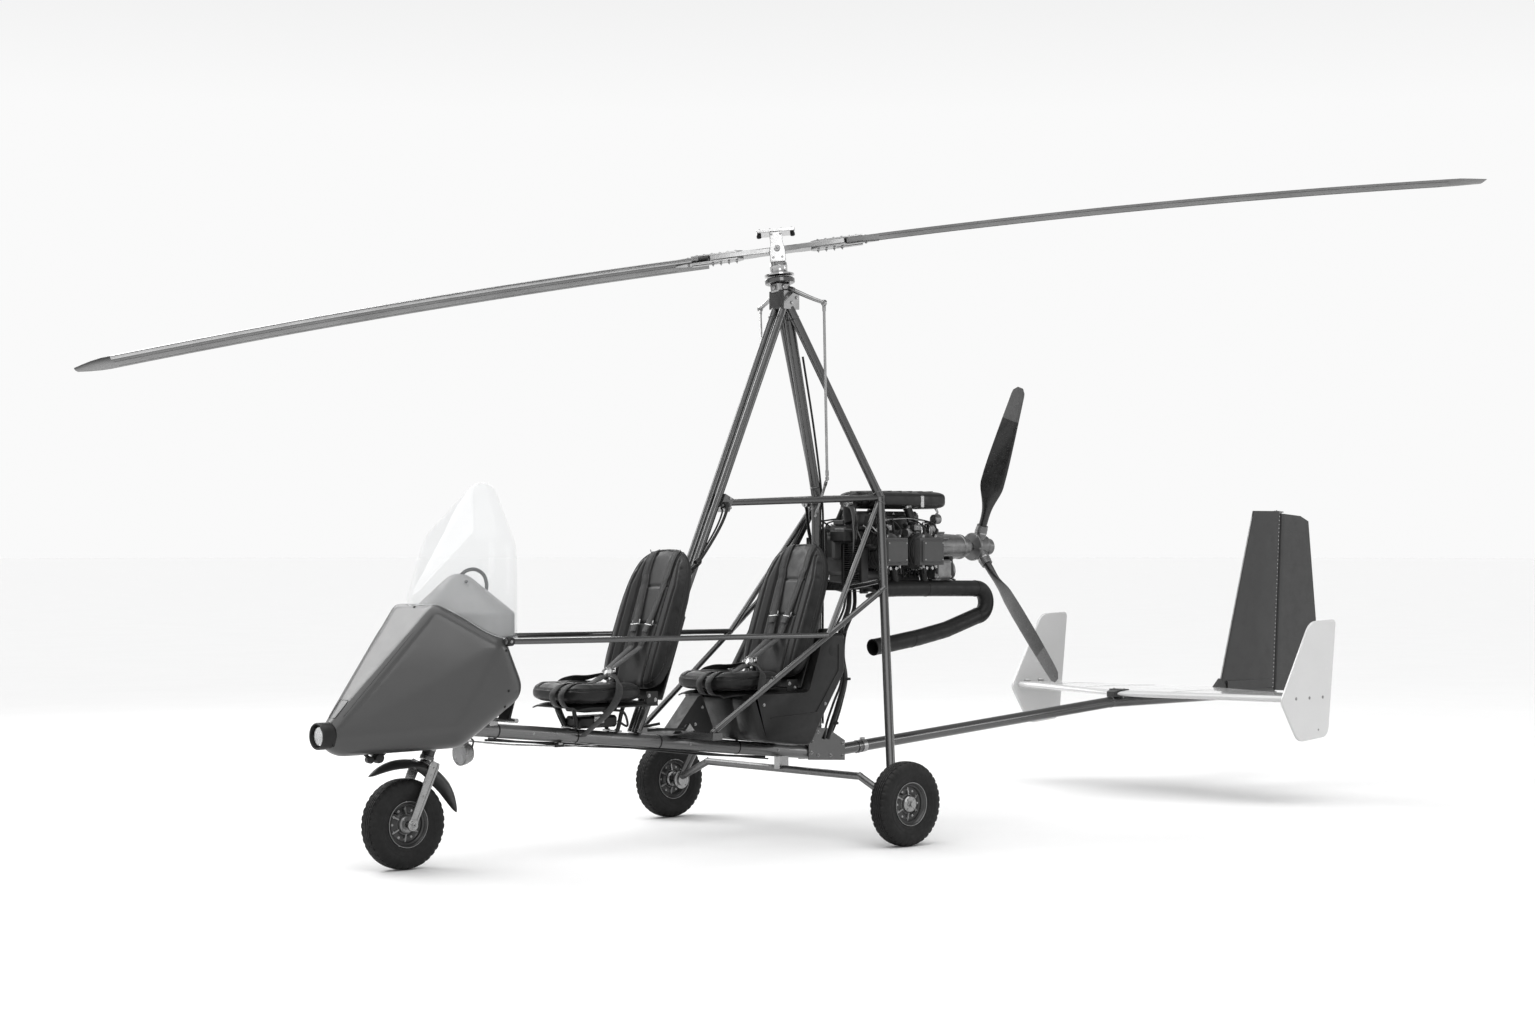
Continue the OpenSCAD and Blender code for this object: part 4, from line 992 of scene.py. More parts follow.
def seat(name, ax, az, mirror=1):
    tilt = rad(20)
    F = Frame(P(ax - 0.084, 0, az - 0.0003), tilt)       # back, x forward, z up along the back
    C = Frame(P(ax - 0.024, 0, az), 0)                   # cushion
    vs, fs = cube_grid(23)

    # back: arched pad with a middle panel and side bolsters
    pts = []
    for a, b, c in vs:
        q = 2.7 if c > 0 else 5
        m_ = (abs(b) ** q + abs(c) ** q) ** (1 / q)
        n = (abs(a) ** 3.6 + m_ ** 3.6) ** (-1 / 3.6)
        u, w, h = a * n, b * n, c * n
        z = 0.400 + (0.352 if h > 0 else 0.360) * h
        y = w * (0.238 + 0.003 * (1 - h))
        x = 0.036 + u * 0.029
        t = min(1, abs(w))
        if u > 0:
            x += 0.010 * math.exp(-((t - 0.72) / 0.17) ** 2) * u - 0.012 * math.exp(-(t / 0.38) ** 4) * u
        else:
            x -= 0.004 * (1 - t * t) * u
        pts.append(F(x, y, z))
    back = mesh_object(name + "_back_pad", pts, fs, "vinyl")
    plump(back)
    bpy.context.view_layer.update()
    bt = tree(back)

    def on_back(y, z, d=0.0):
        loc, nor, _, _ = bt.ray_cast(F(0.25, y, z), F.r @ Vector((-1, 0, 0)), 0.5)
        return (loc + nor * d, nor) if loc else (F(0.06, y, z), F.r @ Vector((1, 0, 0)))
    seams = []
    for s in (-1, 1):
        seams.append([on_back(s * (0.098 + 0.012 * f), 0.06 + 0.672 * f)[0] for f in [i / 80 for i in range(81)]])
        seams.append([on_back(s * (0.158 + 0.008 * f - 0.030 * max(0, f - 0.8) / 0.2),
                              0.07 + 0.60 * f)[0] for f in [i / 80 for i in range(81)]])
    for z in (0.36, 0.545):
        seams.append([on_back(-0.100 + 0.2 * i / 30, z + 0.004 * sin(i / 30 * pi))[0] for i in range(31)])
    sew(back, seams, 0.0065, 0.007)
    me = back.data
    me.materials.append(M["vinyl_panel"])
    inv, o0 = F.r.transposed(), F.o
    look_at = [(inv @ (f.center - o0), inv @ f.normal) for f in me.polygons]
    me.polygons.foreach_set("material_index",
                            [int(abs(q.y) < 0.098 + 0.012 * (q.z - 0.06) / 0.672 and n.x > 0.4 and q.z > 0.06)
                                               for q, n in look_at])
    bpy.context.view_layer.update()
    bt = tree(back)
    k = Kit()
    for line in seams[:4:2]:
        k.tube([on_back(*((inv @ (p - o0)).yz), 0.0008)[0] for p in line[::2]], 0.0022, "piping", 8)
    # piping round the outer edge, where the front panel meets the side wall
    edge = []
    for i in range(121):
        a = rad(-62) + rad(304) * i / 120
        q = 2.7 if sin(a) > 0 else 5
        n = (abs(cos(a)) ** q + abs(sin(a)) ** q) ** (-1 / q)
        y, z = 0.229 * cos(a) * n, 0.400 + 0.340 * sin(a) * n
        loc, nor, _, _ = bt.find_nearest(F(0.058, y, z))
        edge.append(loc + nor * 0.0006)
    k.tube(relax(edge, 0.012, 3), 0.0032, "piping", 10)
    dress(back, "airframe", name + "_back", 80)
    k.done(name + "_back_piping", "airframe", "seat_fabric")

    # cushion: rolled front edge, dished middle, side bolsters
    pts = []
    for a, b, c in vs:
        q = 4.0
        n = (abs(a) ** q + abs(b) ** q + abs(c) ** q) ** (-1 / q)
        u, w, h = a * n, b * n, c * n
        x = 0.004 + 0.434 * (u + 1) / 2
        y = w * (0.216 - 0.010 * max(0, -u) ** 2)
        z = 0.046 + h * 0.038
        t = abs(w)
        if h > 0:
            z += h * (0.007 * math.exp(-((t - 0.74) / 0.18) ** 2) - 0.009 * math.exp(-(t / 0.40) ** 4) * (1 - max(0,
                    u) ** 3)
                      + 0.006 * math.exp(-((u - 0.72) / 0.22) ** 2))
        back_lim = 0.075 - 0.060 + (z - 0.0) * -tan(tilt) + 0.020
        x = max(x, back_lim)
        pts.append(C(x, y, z + 0.001))
    cush = mesh_object(name + "_cushion_pad", pts, fs, "vinyl")
    plump(cush, cap=0.006)
    bpy.context.view_layer.update()
    ct = tree(cush)

    def on_cush(x, y, d=0.0):
        loc, nor, _, _ = ct.ray_cast(C(x, y, 0.30), Vector((0, 0, -1)), 0.5)
        return (loc + nor * d, nor) if loc else (C(x, y, 0.08), Vector((0, 0, 1)))
    seams = []
    for s in (-1, 1):
        seams.append([on_cush(0.05 + 0.372 * i / 60, s * (0.105 + 0.01 * i / 60))[0] for i in range(61)])
    seams.append([on_cush(0.315, -0.11 + 0.22 * i / 40)[0] for i in range(41)])
    rim_ = []
    for i in range(161):
        a = 2 * pi * i / 160
        ca, sa = cos(a), sin(a)
        n = (abs(ca) ** 5 + abs(sa) ** 5) ** (-1 / 5)
        loc, nor, _, _ = ct.find_nearest(C(0.222 + 0.210 * ca * n, 0.208 * sa * n, 0.075))
        rim_.append(loc)
    sew(cush, seams + [rim_], 0.0055, 0.006)
    me = cush.data
    me.materials.append(M["vinyl_panel"])
    me.polygons.foreach_set("material_index",
                            [int(abs((f.center - C.o).y) < 0.108 and f.normal.z > 0.3) for f in me.polygons])
    bpy.context.view_layer.update()
    ct = tree(cush)
    k = Kit()
    k.tube([ct.find_nearest(p)[0] + ct.find_nearest(p)[1] * 0.0006 for p in rim_[::2]], 0.0030, "piping", 8,
           loop=True, caps=False)
    for line in seams[:2]:
        k.tube([ct.find_nearest(p)[0] + ct.find_nearest(p)[1] * 0.0005 for p in line[::2]], 0.0018, "piping", 6)
    dress(cush, "airframe", name + "_cushion", 80)
    k.done(name + "_cushion_piping", "airframe", "seat_fabric")

    # harness
    k = Kit()
    buckle = C(0.098, 0.0, 0.128)
    for s in (-1, 1):
        line, nor = [], []
        for i in range(18):        # up behind the back and over its top
            g = rad(205 - 205 * i / 17)
            out_ = Vector((cos(g), 0, sin(g)))
            loc, n0, _, _ = bt.ray_cast(F(0.036 + 0.35 * out_.x, s * 0.082, 0.600 + 0.35 * out_.z), F.r @ -out_, 0.6)
            if loc is None:
                continue
            line.append(loc + n0 * 0.003)
            nor.append(n0)
        for i in range(26):        # down the front
            f = i / 25
            z = 0.735 - 0.50 * f
            if z > 0.59:
                continue
            p, n = on_back(s * (0.085 - 0.050 * f ** 1.3), z, 0.003)
            line.append(p + n * (0.001 + 0.012 * f ** 3))
            nor.append(n)
        last = line[-1]
        for f in (0.35, 0.7, 1.0):
            line.append(last.lerp(buckle + Vector((-0.01, s * 0.016, 0.02)), f))
            nor.append(F.r @ Vector((1, 0, 0.15)))
        sm = smooth_path(line, 3)
        nn = [nor[min(i // 3, len(nor) - 1)] for i in range(len(sm))]
        nn = [(nn[max(i - 2, 0)] + nn[i] + nn[min(i + 2, len(nn) - 1)]).normalized() for i in range(len(nn))]
        ribbon(k, sm, nn, 0.046, "webbing")
        for off in (-0.018, 0.018):      # edge stitching
            k.tube([p + (sm[min(i + 1, len(sm) - 1)] - sm[max(i - 1,
                    0)]).normalized().cross(nn[i]) * off + nn[i] * 0.0026
                    for i, p in enumerate(sm)][10:-6], 0.0006, "stitch", 5)
        # length adjuster and doubled webbing
        j = len(sm) - 28
        p, n = sm[j], nn[j]
        t = (sm[j + 1] - sm[j - 1]).normalized()
        R = Matrix((t, n.cross(t), n)).transposed()
        k.block(p + n * 0.0045, (0.030, 0.056, 0.004), "steel", R, 0.0015)
        k.tube([p + R @ Vector((0.011, -0.026, 0.008)), p + R @ Vector((0.011, 0.026, 0.008))], 0.0032, "polished",
               10)
        ribbon(k, [p + n * 0.007 - t * (0.012 * i) for i in range(9)], [n] * 9, 0.042, "webbing", 0.0018)
        ribbon(k, [p + n * 0.007 + t * (0.010 * i) + n * 0.001 * i for i in range(6)], [n] * 6, 0.044, "webbing",
               0.0018)
    # lap straps: from the buckle over the cushion's side and down to the keel
    for s in (-1, 1):
        raw = [buckle + Vector((0.0, s * 0.03, 0.0)), C(0.135, s * 0.105, 0.108), C(0.175, s * 0.175, 0.100),
               C(0.205, s * 0.222, 0.078),
               C(0.225, s * 0.232, 0.030), C(0.245, s * 0.185, -0.040), C(0.268, s * 0.100, -0.110)]
        end = C(0.280, s * 0.040, -0.155) if name == "front_seat" else C(0.230, s * 0.226, -0.020)
        if name != "front_seat":
            raw = raw[:5]
        line = smooth_path(raw + [end], 5)
        nn = []
        for i, p in enumerate(line):
            d = p - C(0.15, 0, 0.03)
            d.x = 0.0
            nn.append(d.normalized())
        ribbon(k, line, nn, 0.044, "webbing")
    # crotch strap round the cushion's front edge
    raw = [buckle + Vector((0.02, 0, -0.01))] + [on_cush(x, 0.028 * mirror * (x / 0.4), 0.003)[0] for x in (0.22,
            0.29, 0.35, 0.40)]
    raw += [C(0.4465, 0.030 * mirror, 0.045), C(0.424, 0.030 * mirror, -0.006), C(0.36, 0.03 * mirror, -0.0150)]
    line = smooth_path(raw, 6)
    nn = []
    for i, p in enumerate(line):
        d = p - C(0.20, 0.0, 0.03)
        d.y = 0
        nn.append(d.normalized())
    ribbon(k, line, nn, 0.044, "webbing")
    # strap across the cushion's front corner
    raw = [on_cush(0.255, 0.088, 0.003)[0], on_cush(0.33, 0.092, 0.003)[0], on_cush(0.395, 0.095, 0.003)[0],
           C(0.4465, 0.096, 0.045), C(0.424, 0.096, -0.006), C(0.37, 0.096, -0.015)]
    line = smooth_path([on_cush(0.12, 0.080, 0.003)[0]] + raw, 6)
    nn = []
    for p in line:
        d = p - C(0.20, 0.09, 0.03)
        d.y = 0
        nn.append(d.normalized())
    ribbon(k, line, nn, 0.040, "webbing")
    # rotary buckle
    bn = (F.r @ Vector((1, 0, 0.25))).normalized()
    k.lathe([(-0.008, 0.028), (-0.006, 0.031), (0.004, 0.031), (0.008, 0.028), (0.009, 0.018), (0.012, 0.016),
             (0.013, 0.010)],
            buckle, bn, "steel", 40)
    for a in (0.5, 2.64, 3.9, 5.5):
        t = turn_to(bn) @ Vector((cos(a), sin(a), 0))
        k.block(buckle + t * 0.036, (0.030, 0.030, 0.003), "steel",
                Matrix((t, bn.cross(t), bn)).transposed(), 0.001)
    k.done(name + "_harness", "airframe", "seat_fabric", (), 60)


seat("front_seat", 1.030, 0.690)
seat("rear_seat", 0.142, 0.712)


def seat_pan(name, ax, az, cad):
    """Pressed pan under the cushion and a curved shell behind the back, on its stand."""
    F = Frame(P(ax - 0.084, 0, az - 0.0003), rad(20))
    k = Kit()
    rings = []
    for i in range(15):
        f = i / 14
        x = ax - 0.070 + 0.455 * f
        half = 0.198 - 0.030 * f ** 4
        dip = 0.010 * max(0, (f - 0.88) / 0.12)
        ring = []
        for y in [(-1 + 2 * j / 12) for j in range(13)]:
            ring.append(P(x, half * y, az - 0.0010 - dip - 0.010 * max(0, abs(y) - 0.86) / 0.14))
        ring += [q - Vector((0, 0, 0.007)) for q in ring[::-1]]
        rings.append(ring)
    k.rings(rings, "black_plastic")
    rings = []
    for i in range(13):
        f = i / 12
        z = 0.010 + (0.60 if cad == "front_seat_shell" else 0.59) * f
        half = 0.200 - 0.06 * max(0, f - 0.7) / 0.3
        front = [F(-0.001 - 0.006 * (1 - (y * y)), half * y, z) for y in [(-1 + 2 * j / 12) for j in range(13)]]
        rings.append(front + [q - F.r @ Vector((0.005, 0, 0)) for q in front[::-1]])
    k.rings(rings, "black_plastic")
    for s in (-1, 1):
        k.tube([F(-0.004, s * 0.195, 0.02), F(-0.004, s * 0.197, 0.42)], 0.006, "black_plastic", 10)
        for z in (0.10, 0.30, 0.50):
            k.bolt(F(-0.0065, s * 0.12, z), F.r @ Vector((-1, 0, 0)), 0.006)
        k.block(P(ax - 0.040, s * 0.190, az + 0.020), (0.070, 0.004, 0.060), "black_plastic", None, 0.0015)
        k.bolt(P(ax - 0.020, s * 0.192, az + 0.030), (0, s, 0), 0.007)
        k.bolt(P(ax - 0.058, s * 0.192, az + 0.010), (0, s, 0), 0.007)
    return k


k = seat_pan("front", 1.030, 0.690, "front_seat_shell")
kz = lambda x: keel_z(x) + 0.033
for x0, x1 in ((1.075, 1.062), (1.320, 1.350)):          # two bent-plate stands on the keel, with tubes
    for s in (-1, 1):
        k.hose([(x0, s * 0.030, kz(x0) + 0.004), (x0, s * 0.044, kz(x0) + 0.02), (x1, s * 0.062, 0.660),
                (x1, s * 0.10, 0.677)], 5, 0.010, "black_plastic", 12)
    k.block(P(x0, 0, kz(x0) + 0.005), (0.060, 0.076, 0.008), "steel", Matrix.Rotation(-rad(6.03), 3, "Y"), 0.002)
    for s in (-1, 1):
        k.bolt(P(x0, s * 0.026, kz(x0) + 0.008), (0, 0, 1), 0.006)
k.block(P(1.200, 0, 0.600), (0.235, 0.110, 0.056), "black_plastic", None, 0.012)
k.block(P(1.200, 0, 0.662), (0.200, 0.150, 0.030), "black_plastic", None, 0.008)
for s in (-1, 1):
    k.hose([(1.090, s * 0.058, 0.600), (1.045, s * 0.075, 0.575), (1.070, s * 0.078, 0.640),
            (1.160, s * 0.085, 0.655)], 6, 0.006, "rubber_hose", 8)
    k.block(P(1.200, s * 0.058, 0.610), (0.060, 0.006, 0.034), "steel", None, 0.002)
    k.bolt(P(1.218, s * 0.061, 0.612), (0, s, 0), 0.005)
    k.bolt(P(1.182, s * 0.061, 0.612), (0, s, 0), 0.005)
k.done("front_seat_pan", "airframe", "black_plastic", "front_seat_shell", 40)
seat_pan("rear", 0.142, 0.712, "rear_seat_shell").done("rear_seat_pan", "airframe", "black_plastic",
                                                       "rear_seat_shell", 40)

# seat tank: moulded body with rolled edges, ribs, filler, straps and drain
k = Kit()
tx = [(-0.203, 0.800), (-0.040, 0.560), (0.030, kz(0.03) + 0.002), (0.330, kz(0.33) + 0.002),
      (0.370, kz(0.33) + 0.03), (0.428, 0.672),
      (0.409, 0.699), (0.048, 0.699), (-0.056, 0.985), (-0.200, 0.985)]
sec = []
for i in range(len(tx)):
    a, b, c = (Vector(tx[(i + q) % len(tx)]) for q in (-1, 0, 1))
    for t in (0.0, 0.33, 0.67, 1.0):
        d = 0.026
        p0, p1 = b + (a - b).normalized() * d, b + (c - b).normalized() * d
        sec.append(p0.lerp(b, t).lerp(b.lerp(p1, t), t))
m2 = Vector((0.10, 0.70))
rings = []
for y, q in ((-0.2545, 0.93), (-0.252, 0.965), (-0.244, 0.99), (-0.228, 1.0), (-0.12, 1.0), (-0.112, 0.988),
             (-0.10, 0.988), (-0.092, 1.0),
             (0.092, 1.0), (0.10, 0.988), (0.112, 0.988), (0.12, 1.0), (0.228, 1.0), (0.244, 0.99), (0.252, 0.965), (0.2545, 0.93)):
    rings.append([P(*(lambda v: (v.x, y, v.y))(m2 + (Vector(p) - m2) * q)) for p in sec])
k.rings(rings, "black_plastic")
for s in (-1, 1):
    y = s * 0.2552
    k.tube([P(-0.150, y, 0.93), P(-0.150, y, 0.800), P(0.000, y, 0.600), P(0.300, y, 0.585)], 0.003, "black_plastic",
           6)
    k.lathe([(-0.004, 0.030), (0.0, 0.030), (0.001, 0.026)], P(-0.110, s * 0.2540, 0.900), (0, s, 0),
            "black_plastic", 32)
    k.bolt(P(0.345, s * 0.2540, 0.650), (0, s, 0), 0.006)
    k.bolt(P(-0.060, s * 0.2540, 0.640), (0, s, 0), 0.006)
k.lathe([(0, 0.036), (0.004, 0.040), (0.016, 0.040), (0.020, 0.036), (0.020, 0.010)], P(-0.128, 0.185, 0.985),
        (0, 0, 1), "rubber_hose", 28)
k.hose([(0.02, 0.16, 0.548), (0.0, 0.165, 0.50), (-0.05, 0.14, 0.455), (-0.13, 0.08, 0.44)], 6, 0.007, "rubber_hose",
       10)
k.done("seat_tank_detail", "airframe", "black_plastic", "fuel_tank", 40)


# ---------------------------------------------------------------- engine
PZ = 1.406
Yv, Xv, Zv = Vector((0, 1, 0)), Vector((1, 0, 0)), Vector((0, 0, 1))
k = Kit()
k.block(P(-0.650, 0, 1.372), (0.540, 0.196, 0.220), "engine_metal", None, 0.022)
k.block(P(-0.650, 0, 1.490), (0.520, 0.150, 0.060), "engine_metal", None, 0.016)
k.block(P(-0.650, 0, 1.246), (0.500, 0.180, 0.058), "engine_metal", None, 0.014)
for i in range(12):       # case ribs and sump fins
    x = -0.885 + 0.043 * i
    for s in (-1, 1):
        k.block(P(x, s * 0.099, 1.30), (0.006, 0.014, 0.10), "engine_metal", None, 0.0015)
        k.bolt(P(x + 0.02, s * 0.098, 1.272), (0, s, 0), 0.0045, "steel")
    k.block(P(x, 0, 1.2215), (0.007, 0.150, 0.013), "engine_metal", None, 0.0015)
    k.bolt(P(x + 0.02, 0.050, 1.519), (0, 0, 1), 0.0045, "steel")
    k.bolt(P(x + 0.02, -0.050, 1.519), (0, 0, 1), 0.0045, "steel")
for x in (-0.780, -0.520):
    for s in (-1, 1):
        c, out = P(x, s * 0.100, 1.385), (0, s, 0)
        prof = [(0, 0.070)]
        for i in range(11):
            h = 0.008 + 0.0125 * i
            r = 0.0935 - 0.002 * (i % 2)
            prof += [(h, 0.073), (h + 0.002, r), (h + 0.0045, r), (h + 0.0065, 0.073)]
        k.lathe(prof, c, out, "engine_metal" if x < -0.6 else "engine_metal", 40)
        k.block(P(x, s * 0.262, 1.385), (0.172, 0.046, 0.136), "engine_metal", None, 0.012)
        for i in range(7):
            k.block(P(x, s * (0.246 + 0.006 * i), 1.385), (0.174, 0.0025, 0.139), "engine_metal", None, 0.001)
        k.block(P(x, s * 0.291, 1.385), (0.150, 0.019, 0.112), "engine_metal", None, 0.009)
        for dx in (-0.062, 0.062):
            for dz in (-0.042, 0.042):
                k.bolt(P(x + dx, s * 0.2985, 1.385 + dz), out, 0.0042, "steel")
        for dx in (-0.045, 0.045):          # plugs, caps and leads
            for dz, top in ((0.066, 1), (-0.066, -1)):
                p = P(x + dx, s * 0.262, 1.385 + dz)
                k.lathe([(0, 0.007), (0.012, 0.007), (0.014, 0.0055), (0.020, 0.0055)], p, (0, 0.3 * s, top),
                        "steel", 6)
                q = p + Vector((0, 0.007 * s, 0.022 * top))
                k.lathe([(0, 0.0075), (0.024, 0.007), (0.028, 0.005)], q, (0, 0.25 * s, top), "rubber_hose", 14)
                if top > 0:
                    k.tube(smooth_path([q + Vector((0, 0.004 * s, 0.026)), q + Vector((0.01, -0.03 * s, 0.060)),
                                        P(x * 0.6 - 0.28 + dx * 0.5, s * 0.100, 1.558), P(-0.640 + dx, s * 0.040, 1.548)], 6), 0.0042, "rubber_hose", 8)
        k.tube([P(x - 0.02, s * 0.110, 1.293), P(x - 0.02, s * 0.268, 1.300)], 0.0085, "steel",
               12)      # push-rod tubes
        k.tube([P(x + 0.02, s * 0.110, 1.293), P(x + 0.02, s * 0.268, 1.300)], 0.0085, "steel", 12)
        if s < 0:
            k.hose([(x, -0.250, 1.320), (x, -0.262, 1.262), (x - 0.03, -0.240, 1.215), (x - 0.10, -0.190, 1.186)], 6,
                   0.019, "exhaust_metal", 16)
k.lathe([(0, 0.104), (0.014, 0.104), (0.018, 0.098), (0.075, 0.092), (0.080, 0.098), (0.092, 0.098), (0.096, 0.090),
         (0.130, 0.086), (0.165, 0.074),
         (0.205, 0.070), (0.300, 0.065), (0.330, 0.062), (0.335, 0.066), (0.347, 0.066), (0.351, 0.056), (0.388, 0.052), (0.394, 0.044), (0.394, 0.020)], P(-0.930, 0, PZ), (-1, 0, 0), "engine_alloy", 56)
for i in range(12):
    a = 2 * pi * i / 12
    d = Vector((0, cos(a), sin(a)))
    k.block(P(-1.065, 0, PZ) + d * 0.083, (0.110, 0.006, 0.016), "engine_alloy", Matrix.Rotation(a + pi / 2, 3, "X"),
            0.002)
    k.bolt(P(-0.9475, 0, PZ) + d * 0.0975, (-1, 0, 0), 0.0048, "steel")
    k.bolt(P(-1.0215, 0, PZ) + d * 0.0905, (-1, 0, 0), 0.0042, "steel")
k.lathe([(0.20, 0.0195), (0.448, 0.0195)], P(-0.930, 0, PZ), (-1, 0, 0), "polished", 32)
# finned alternator below the gearbox, ignition box, starter and oil filter
k.lathe([(0, 0.050), (0.006, 0.058), (0.020, 0.058), (0.022, 0.052), (0.092, 0.052), (0.096, 0.058), (0.110, 0.058),
         (0.116, 0.048), (0.118, 0.012)],
        P(-0.990, 0.085, 1.282), (-1, 0, 0), "engine_alloy", 40)
for i in range(20):
    a = 2 * pi * i / 20
    k.block(P(-1.045, 0.085, 1.282) + Vector((0, cos(a), sin(a))) * 0.0545, (0.068, 0.003, 0.007), "engine_alloy",
            Matrix.Rotation(a + pi / 2, 3, "X"), 0.0008)
k.block(P(-0.905, 0.212, 1.292), (0.118, 0.074, 0.098), "engine_alloy", None, 0.009)
k.block(P(-0.905, 0.2505, 1.292), (0.092, 0.005, 0.072), "engine_alloy", None, 0.002)
for dx in (-0.048, 0.048):
    for dz in (-0.038, 0.038):
        k.bolt(P(-0.905 + dx, 0.249, 1.292 + dz), (0, 1, 0), 0.0036, "steel")
k.block(P(-0.975, 0.180, 1.300), (0.028, 0.110, 0.118), "black_plastic", None, 0.005)
k.lathe([(0, 0.030), (0.004, 0.036), (0.075, 0.036), (0.080, 0.030), (0.086, 0.016)], P(-0.420, -0.120, 1.262),
        (0.3, -1, 0), "engine_alloy", 32)
k.lathe([(0, 0.028), (0.004, 0.034), (0.110, 0.034), (0.114, 0.028), (0.122, 0.012)], P(-0.430, 0.135, 1.258),
        (-1, 0, 0), "engine_metal", 32)
# carburettors, linkage, alloy water pump and shiny crossover in the middle
for s in (-1, 1):
    for x in (-0.760, -0.560):
        k.lathe([(0, 0.026), (0.010, 0.030), (0.016, 0.024), (0.060, 0.024), (0.066, 0.030), (0.078, 0.030)],
                P(x + 0.004, s * 0.162, 1.455), (0, -0.35 * s, 1), "engine_alloy", 28)
        k.lathe([(0, 0.020), (0.004, 0.026), (0.022, 0.026), (0.028, 0.018)], P(x + 0.045, s * 0.180, 1.478),
                (1, 0.2 * s, 0), "engine_alloy", 24)
        k.block(P(x + 0.004, s * 0.190, 1.505), (0.050, 0.044, 0.036), "engine_alloy", None, 0.006)
        k.bolt(P(x + 0.010, s * 0.2115, 1.505), (0, s, 0), 0.0042, "steel")
    k.hose([(-0.800, s * 0.205, 1.540), (-0.66, s * 0.218, 1.552), (-0.52, s * 0.205, 1.545)], 6, 0.0035, "steel", 8)
    k.hose([(-0.880, s * 0.060, 1.500), (-0.900, s * 0.130, 1.512), (-0.860, s * 0.185, 1.470),
            (-0.800, s * 0.215, 1.440)], 7, 0.015, "polished", 16)
    k.clamp(P(-0.895, s * 0.125, 1.512), (0.1, 1, 0.1), 0.0155)
k.lathe([(0, 0.048), (0.006, 0.052), (0.030, 0.050), (0.046, 0.036), (0.060, 0.020), (0.066, 0.018)],
        P(-0.900, 0.040, 1.468), (-0.4, 0.9, 0.1), "engine_alloy", 36)
k.lathe([(0, 0.034), (0.004, 0.038), (0.050, 0.036), (0.060, 0.026)], P(-0.985, 0.030, 1.500), (-1, 0.1, 0.15),
        "engine_alloy", 32)
k.lathe([(0, 0.022), (0.004, 0.026), (0.040, 0.026), (0.044, 0.020)], P(-1.000, 0.075, 1.548), (-1, 0, 0.1),
        "engine_alloy", 28)
for i in range(7):
    x = -0.86 + 0.075 * i
    k.block(P(x, 0.0, 1.532), (0.040, 0.080, 0.026), "engine_metal", None, 0.005)
    k.bolt(P(x, 0.020, 1.545), (0, 0, 1), 0.0045, "steel")
# belts of small plumbing
rr = random.Random(11)
for i in range(16):
    s = 1 if i % 3 else -1
    x0, x1 = -0.93 + 0.55 * rr.random(), -0.93 + 0.55 * rr.random()
    a = P(x0, s * (0.10 + 0.03 * rr.random()), 1.24 + 0.25 * rr.random())
    b = P(x1, s * (0.11 + 0.10 * rr.random()), 1.50 + 0.05 * rr.random())
    m = a.lerp(b, 0.5) + Vector((0.05 * (rr.random() - 0.5), s * 0.05, -0.03))
    k.tube(smooth_path([a, m, b], 7), 0.0035 + 0.004 * rr.random(), ("rubber_hose", "rubber_hose", "steel")[i % 3], 8)
for i in range(14):       # lower lumps: brackets, banjo fittings and hoses beneath the case
    x = -0.93 + 0.04 * i
    s = 1 if i % 2 else -1
    k.lathe([(0, 0.010), (0.004, 0.015), (0.022, 0.015), (0.026, 0.009)],
            P(x, s * (0.05 + 0.07 * rr.random()), 1.215), (0.3 * rr.random(), 0, -1), "engine_metal", 14)
k.hose([(-0.93, 0.12, 1.235), (-0.85, 0.150, 1.208), (-0.70, 0.120, 1.190), (-0.58, 0.150, 1.195),
        (-0.45, 0.110, 1.225)], 8, 0.0145, "rubber_hose", 14)
k.hose([(-0.90, 0.09, 1.225), (-0.80, 0.090, 1.190), (-0.66, 0.060, 1.178), (-0.50, 0.070, 1.215)], 8, 0.012,
       "rubber_hose", 14)
k.done("engine_detail", "airframe", "engine_metal", "engine", 34)

# oil radiator on the port side, ahead of the cylinders
k = Kit()
k.block(P(-0.372, 0.205, 1.300), (0.050, 0.020, 0.250), "black_plastic", None, 0.004)
k.block(P(-0.372, 0.075, 1.300), (0.050, 0.020, 0.250), "black_plastic", None, 0.004)
for i in range(22):
    k.block(P(-0.372, 0.140, 1.185 + 0.0108 * i), (0.044, 0.120, 0.0030), "engine_metal", None, 0.0008)
for z in (1.19, 1.41):
    k.hose([(-0.372, 0.215, z), (-0.380, 0.245, z + 0.004), (-0.420, 0.240, z - 0.010), (-0.450, 0.150, z - 0.03)],
           6, 0.010, "rubber_hose", 12)
# battery / relay box and cable runs down from the engine to the keel
k.block(P(-0.330, 0.100, 1.462), (0.090, 0.110, 0.060), "black_plastic", None, 0.008)
k.block(P(-0.330, 0.100, 1.496), (0.060, 0.070, 0.010), "engine_alloy", None, 0.003)
hose = [P(-0.400, 0.07, 1.215), P(-0.380, 0.085, 1.10), P(-0.330, 0.080, 0.98), P(-0.350, 0.060, 0.86),
        P(-0.390, 0.045, 0.74), P(-0.350, 0.045, 0.62),
        P(-0.310, 0.040, 0.52), P(-0.280, 0.036, 0.445)]
k.tube(smooth_path(hose, 8), 0.013, "rubber_hose", 14)
k.tube(smooth_path([p + Vector((-0.055 + 0.03 * i / 7, -0.02 + 0.01 * sin(i * 1.3), 0)) for i, p in enumerate(hose)],
                   8), 0.010, "rubber_hose", 12)
k.tube(smooth_path([p + Vector((0.030, 0.012 * cos(i * 1.7), 0)) for i, p in enumerate(hose)], 8), 0.006,
       "rubber_hose", 10)
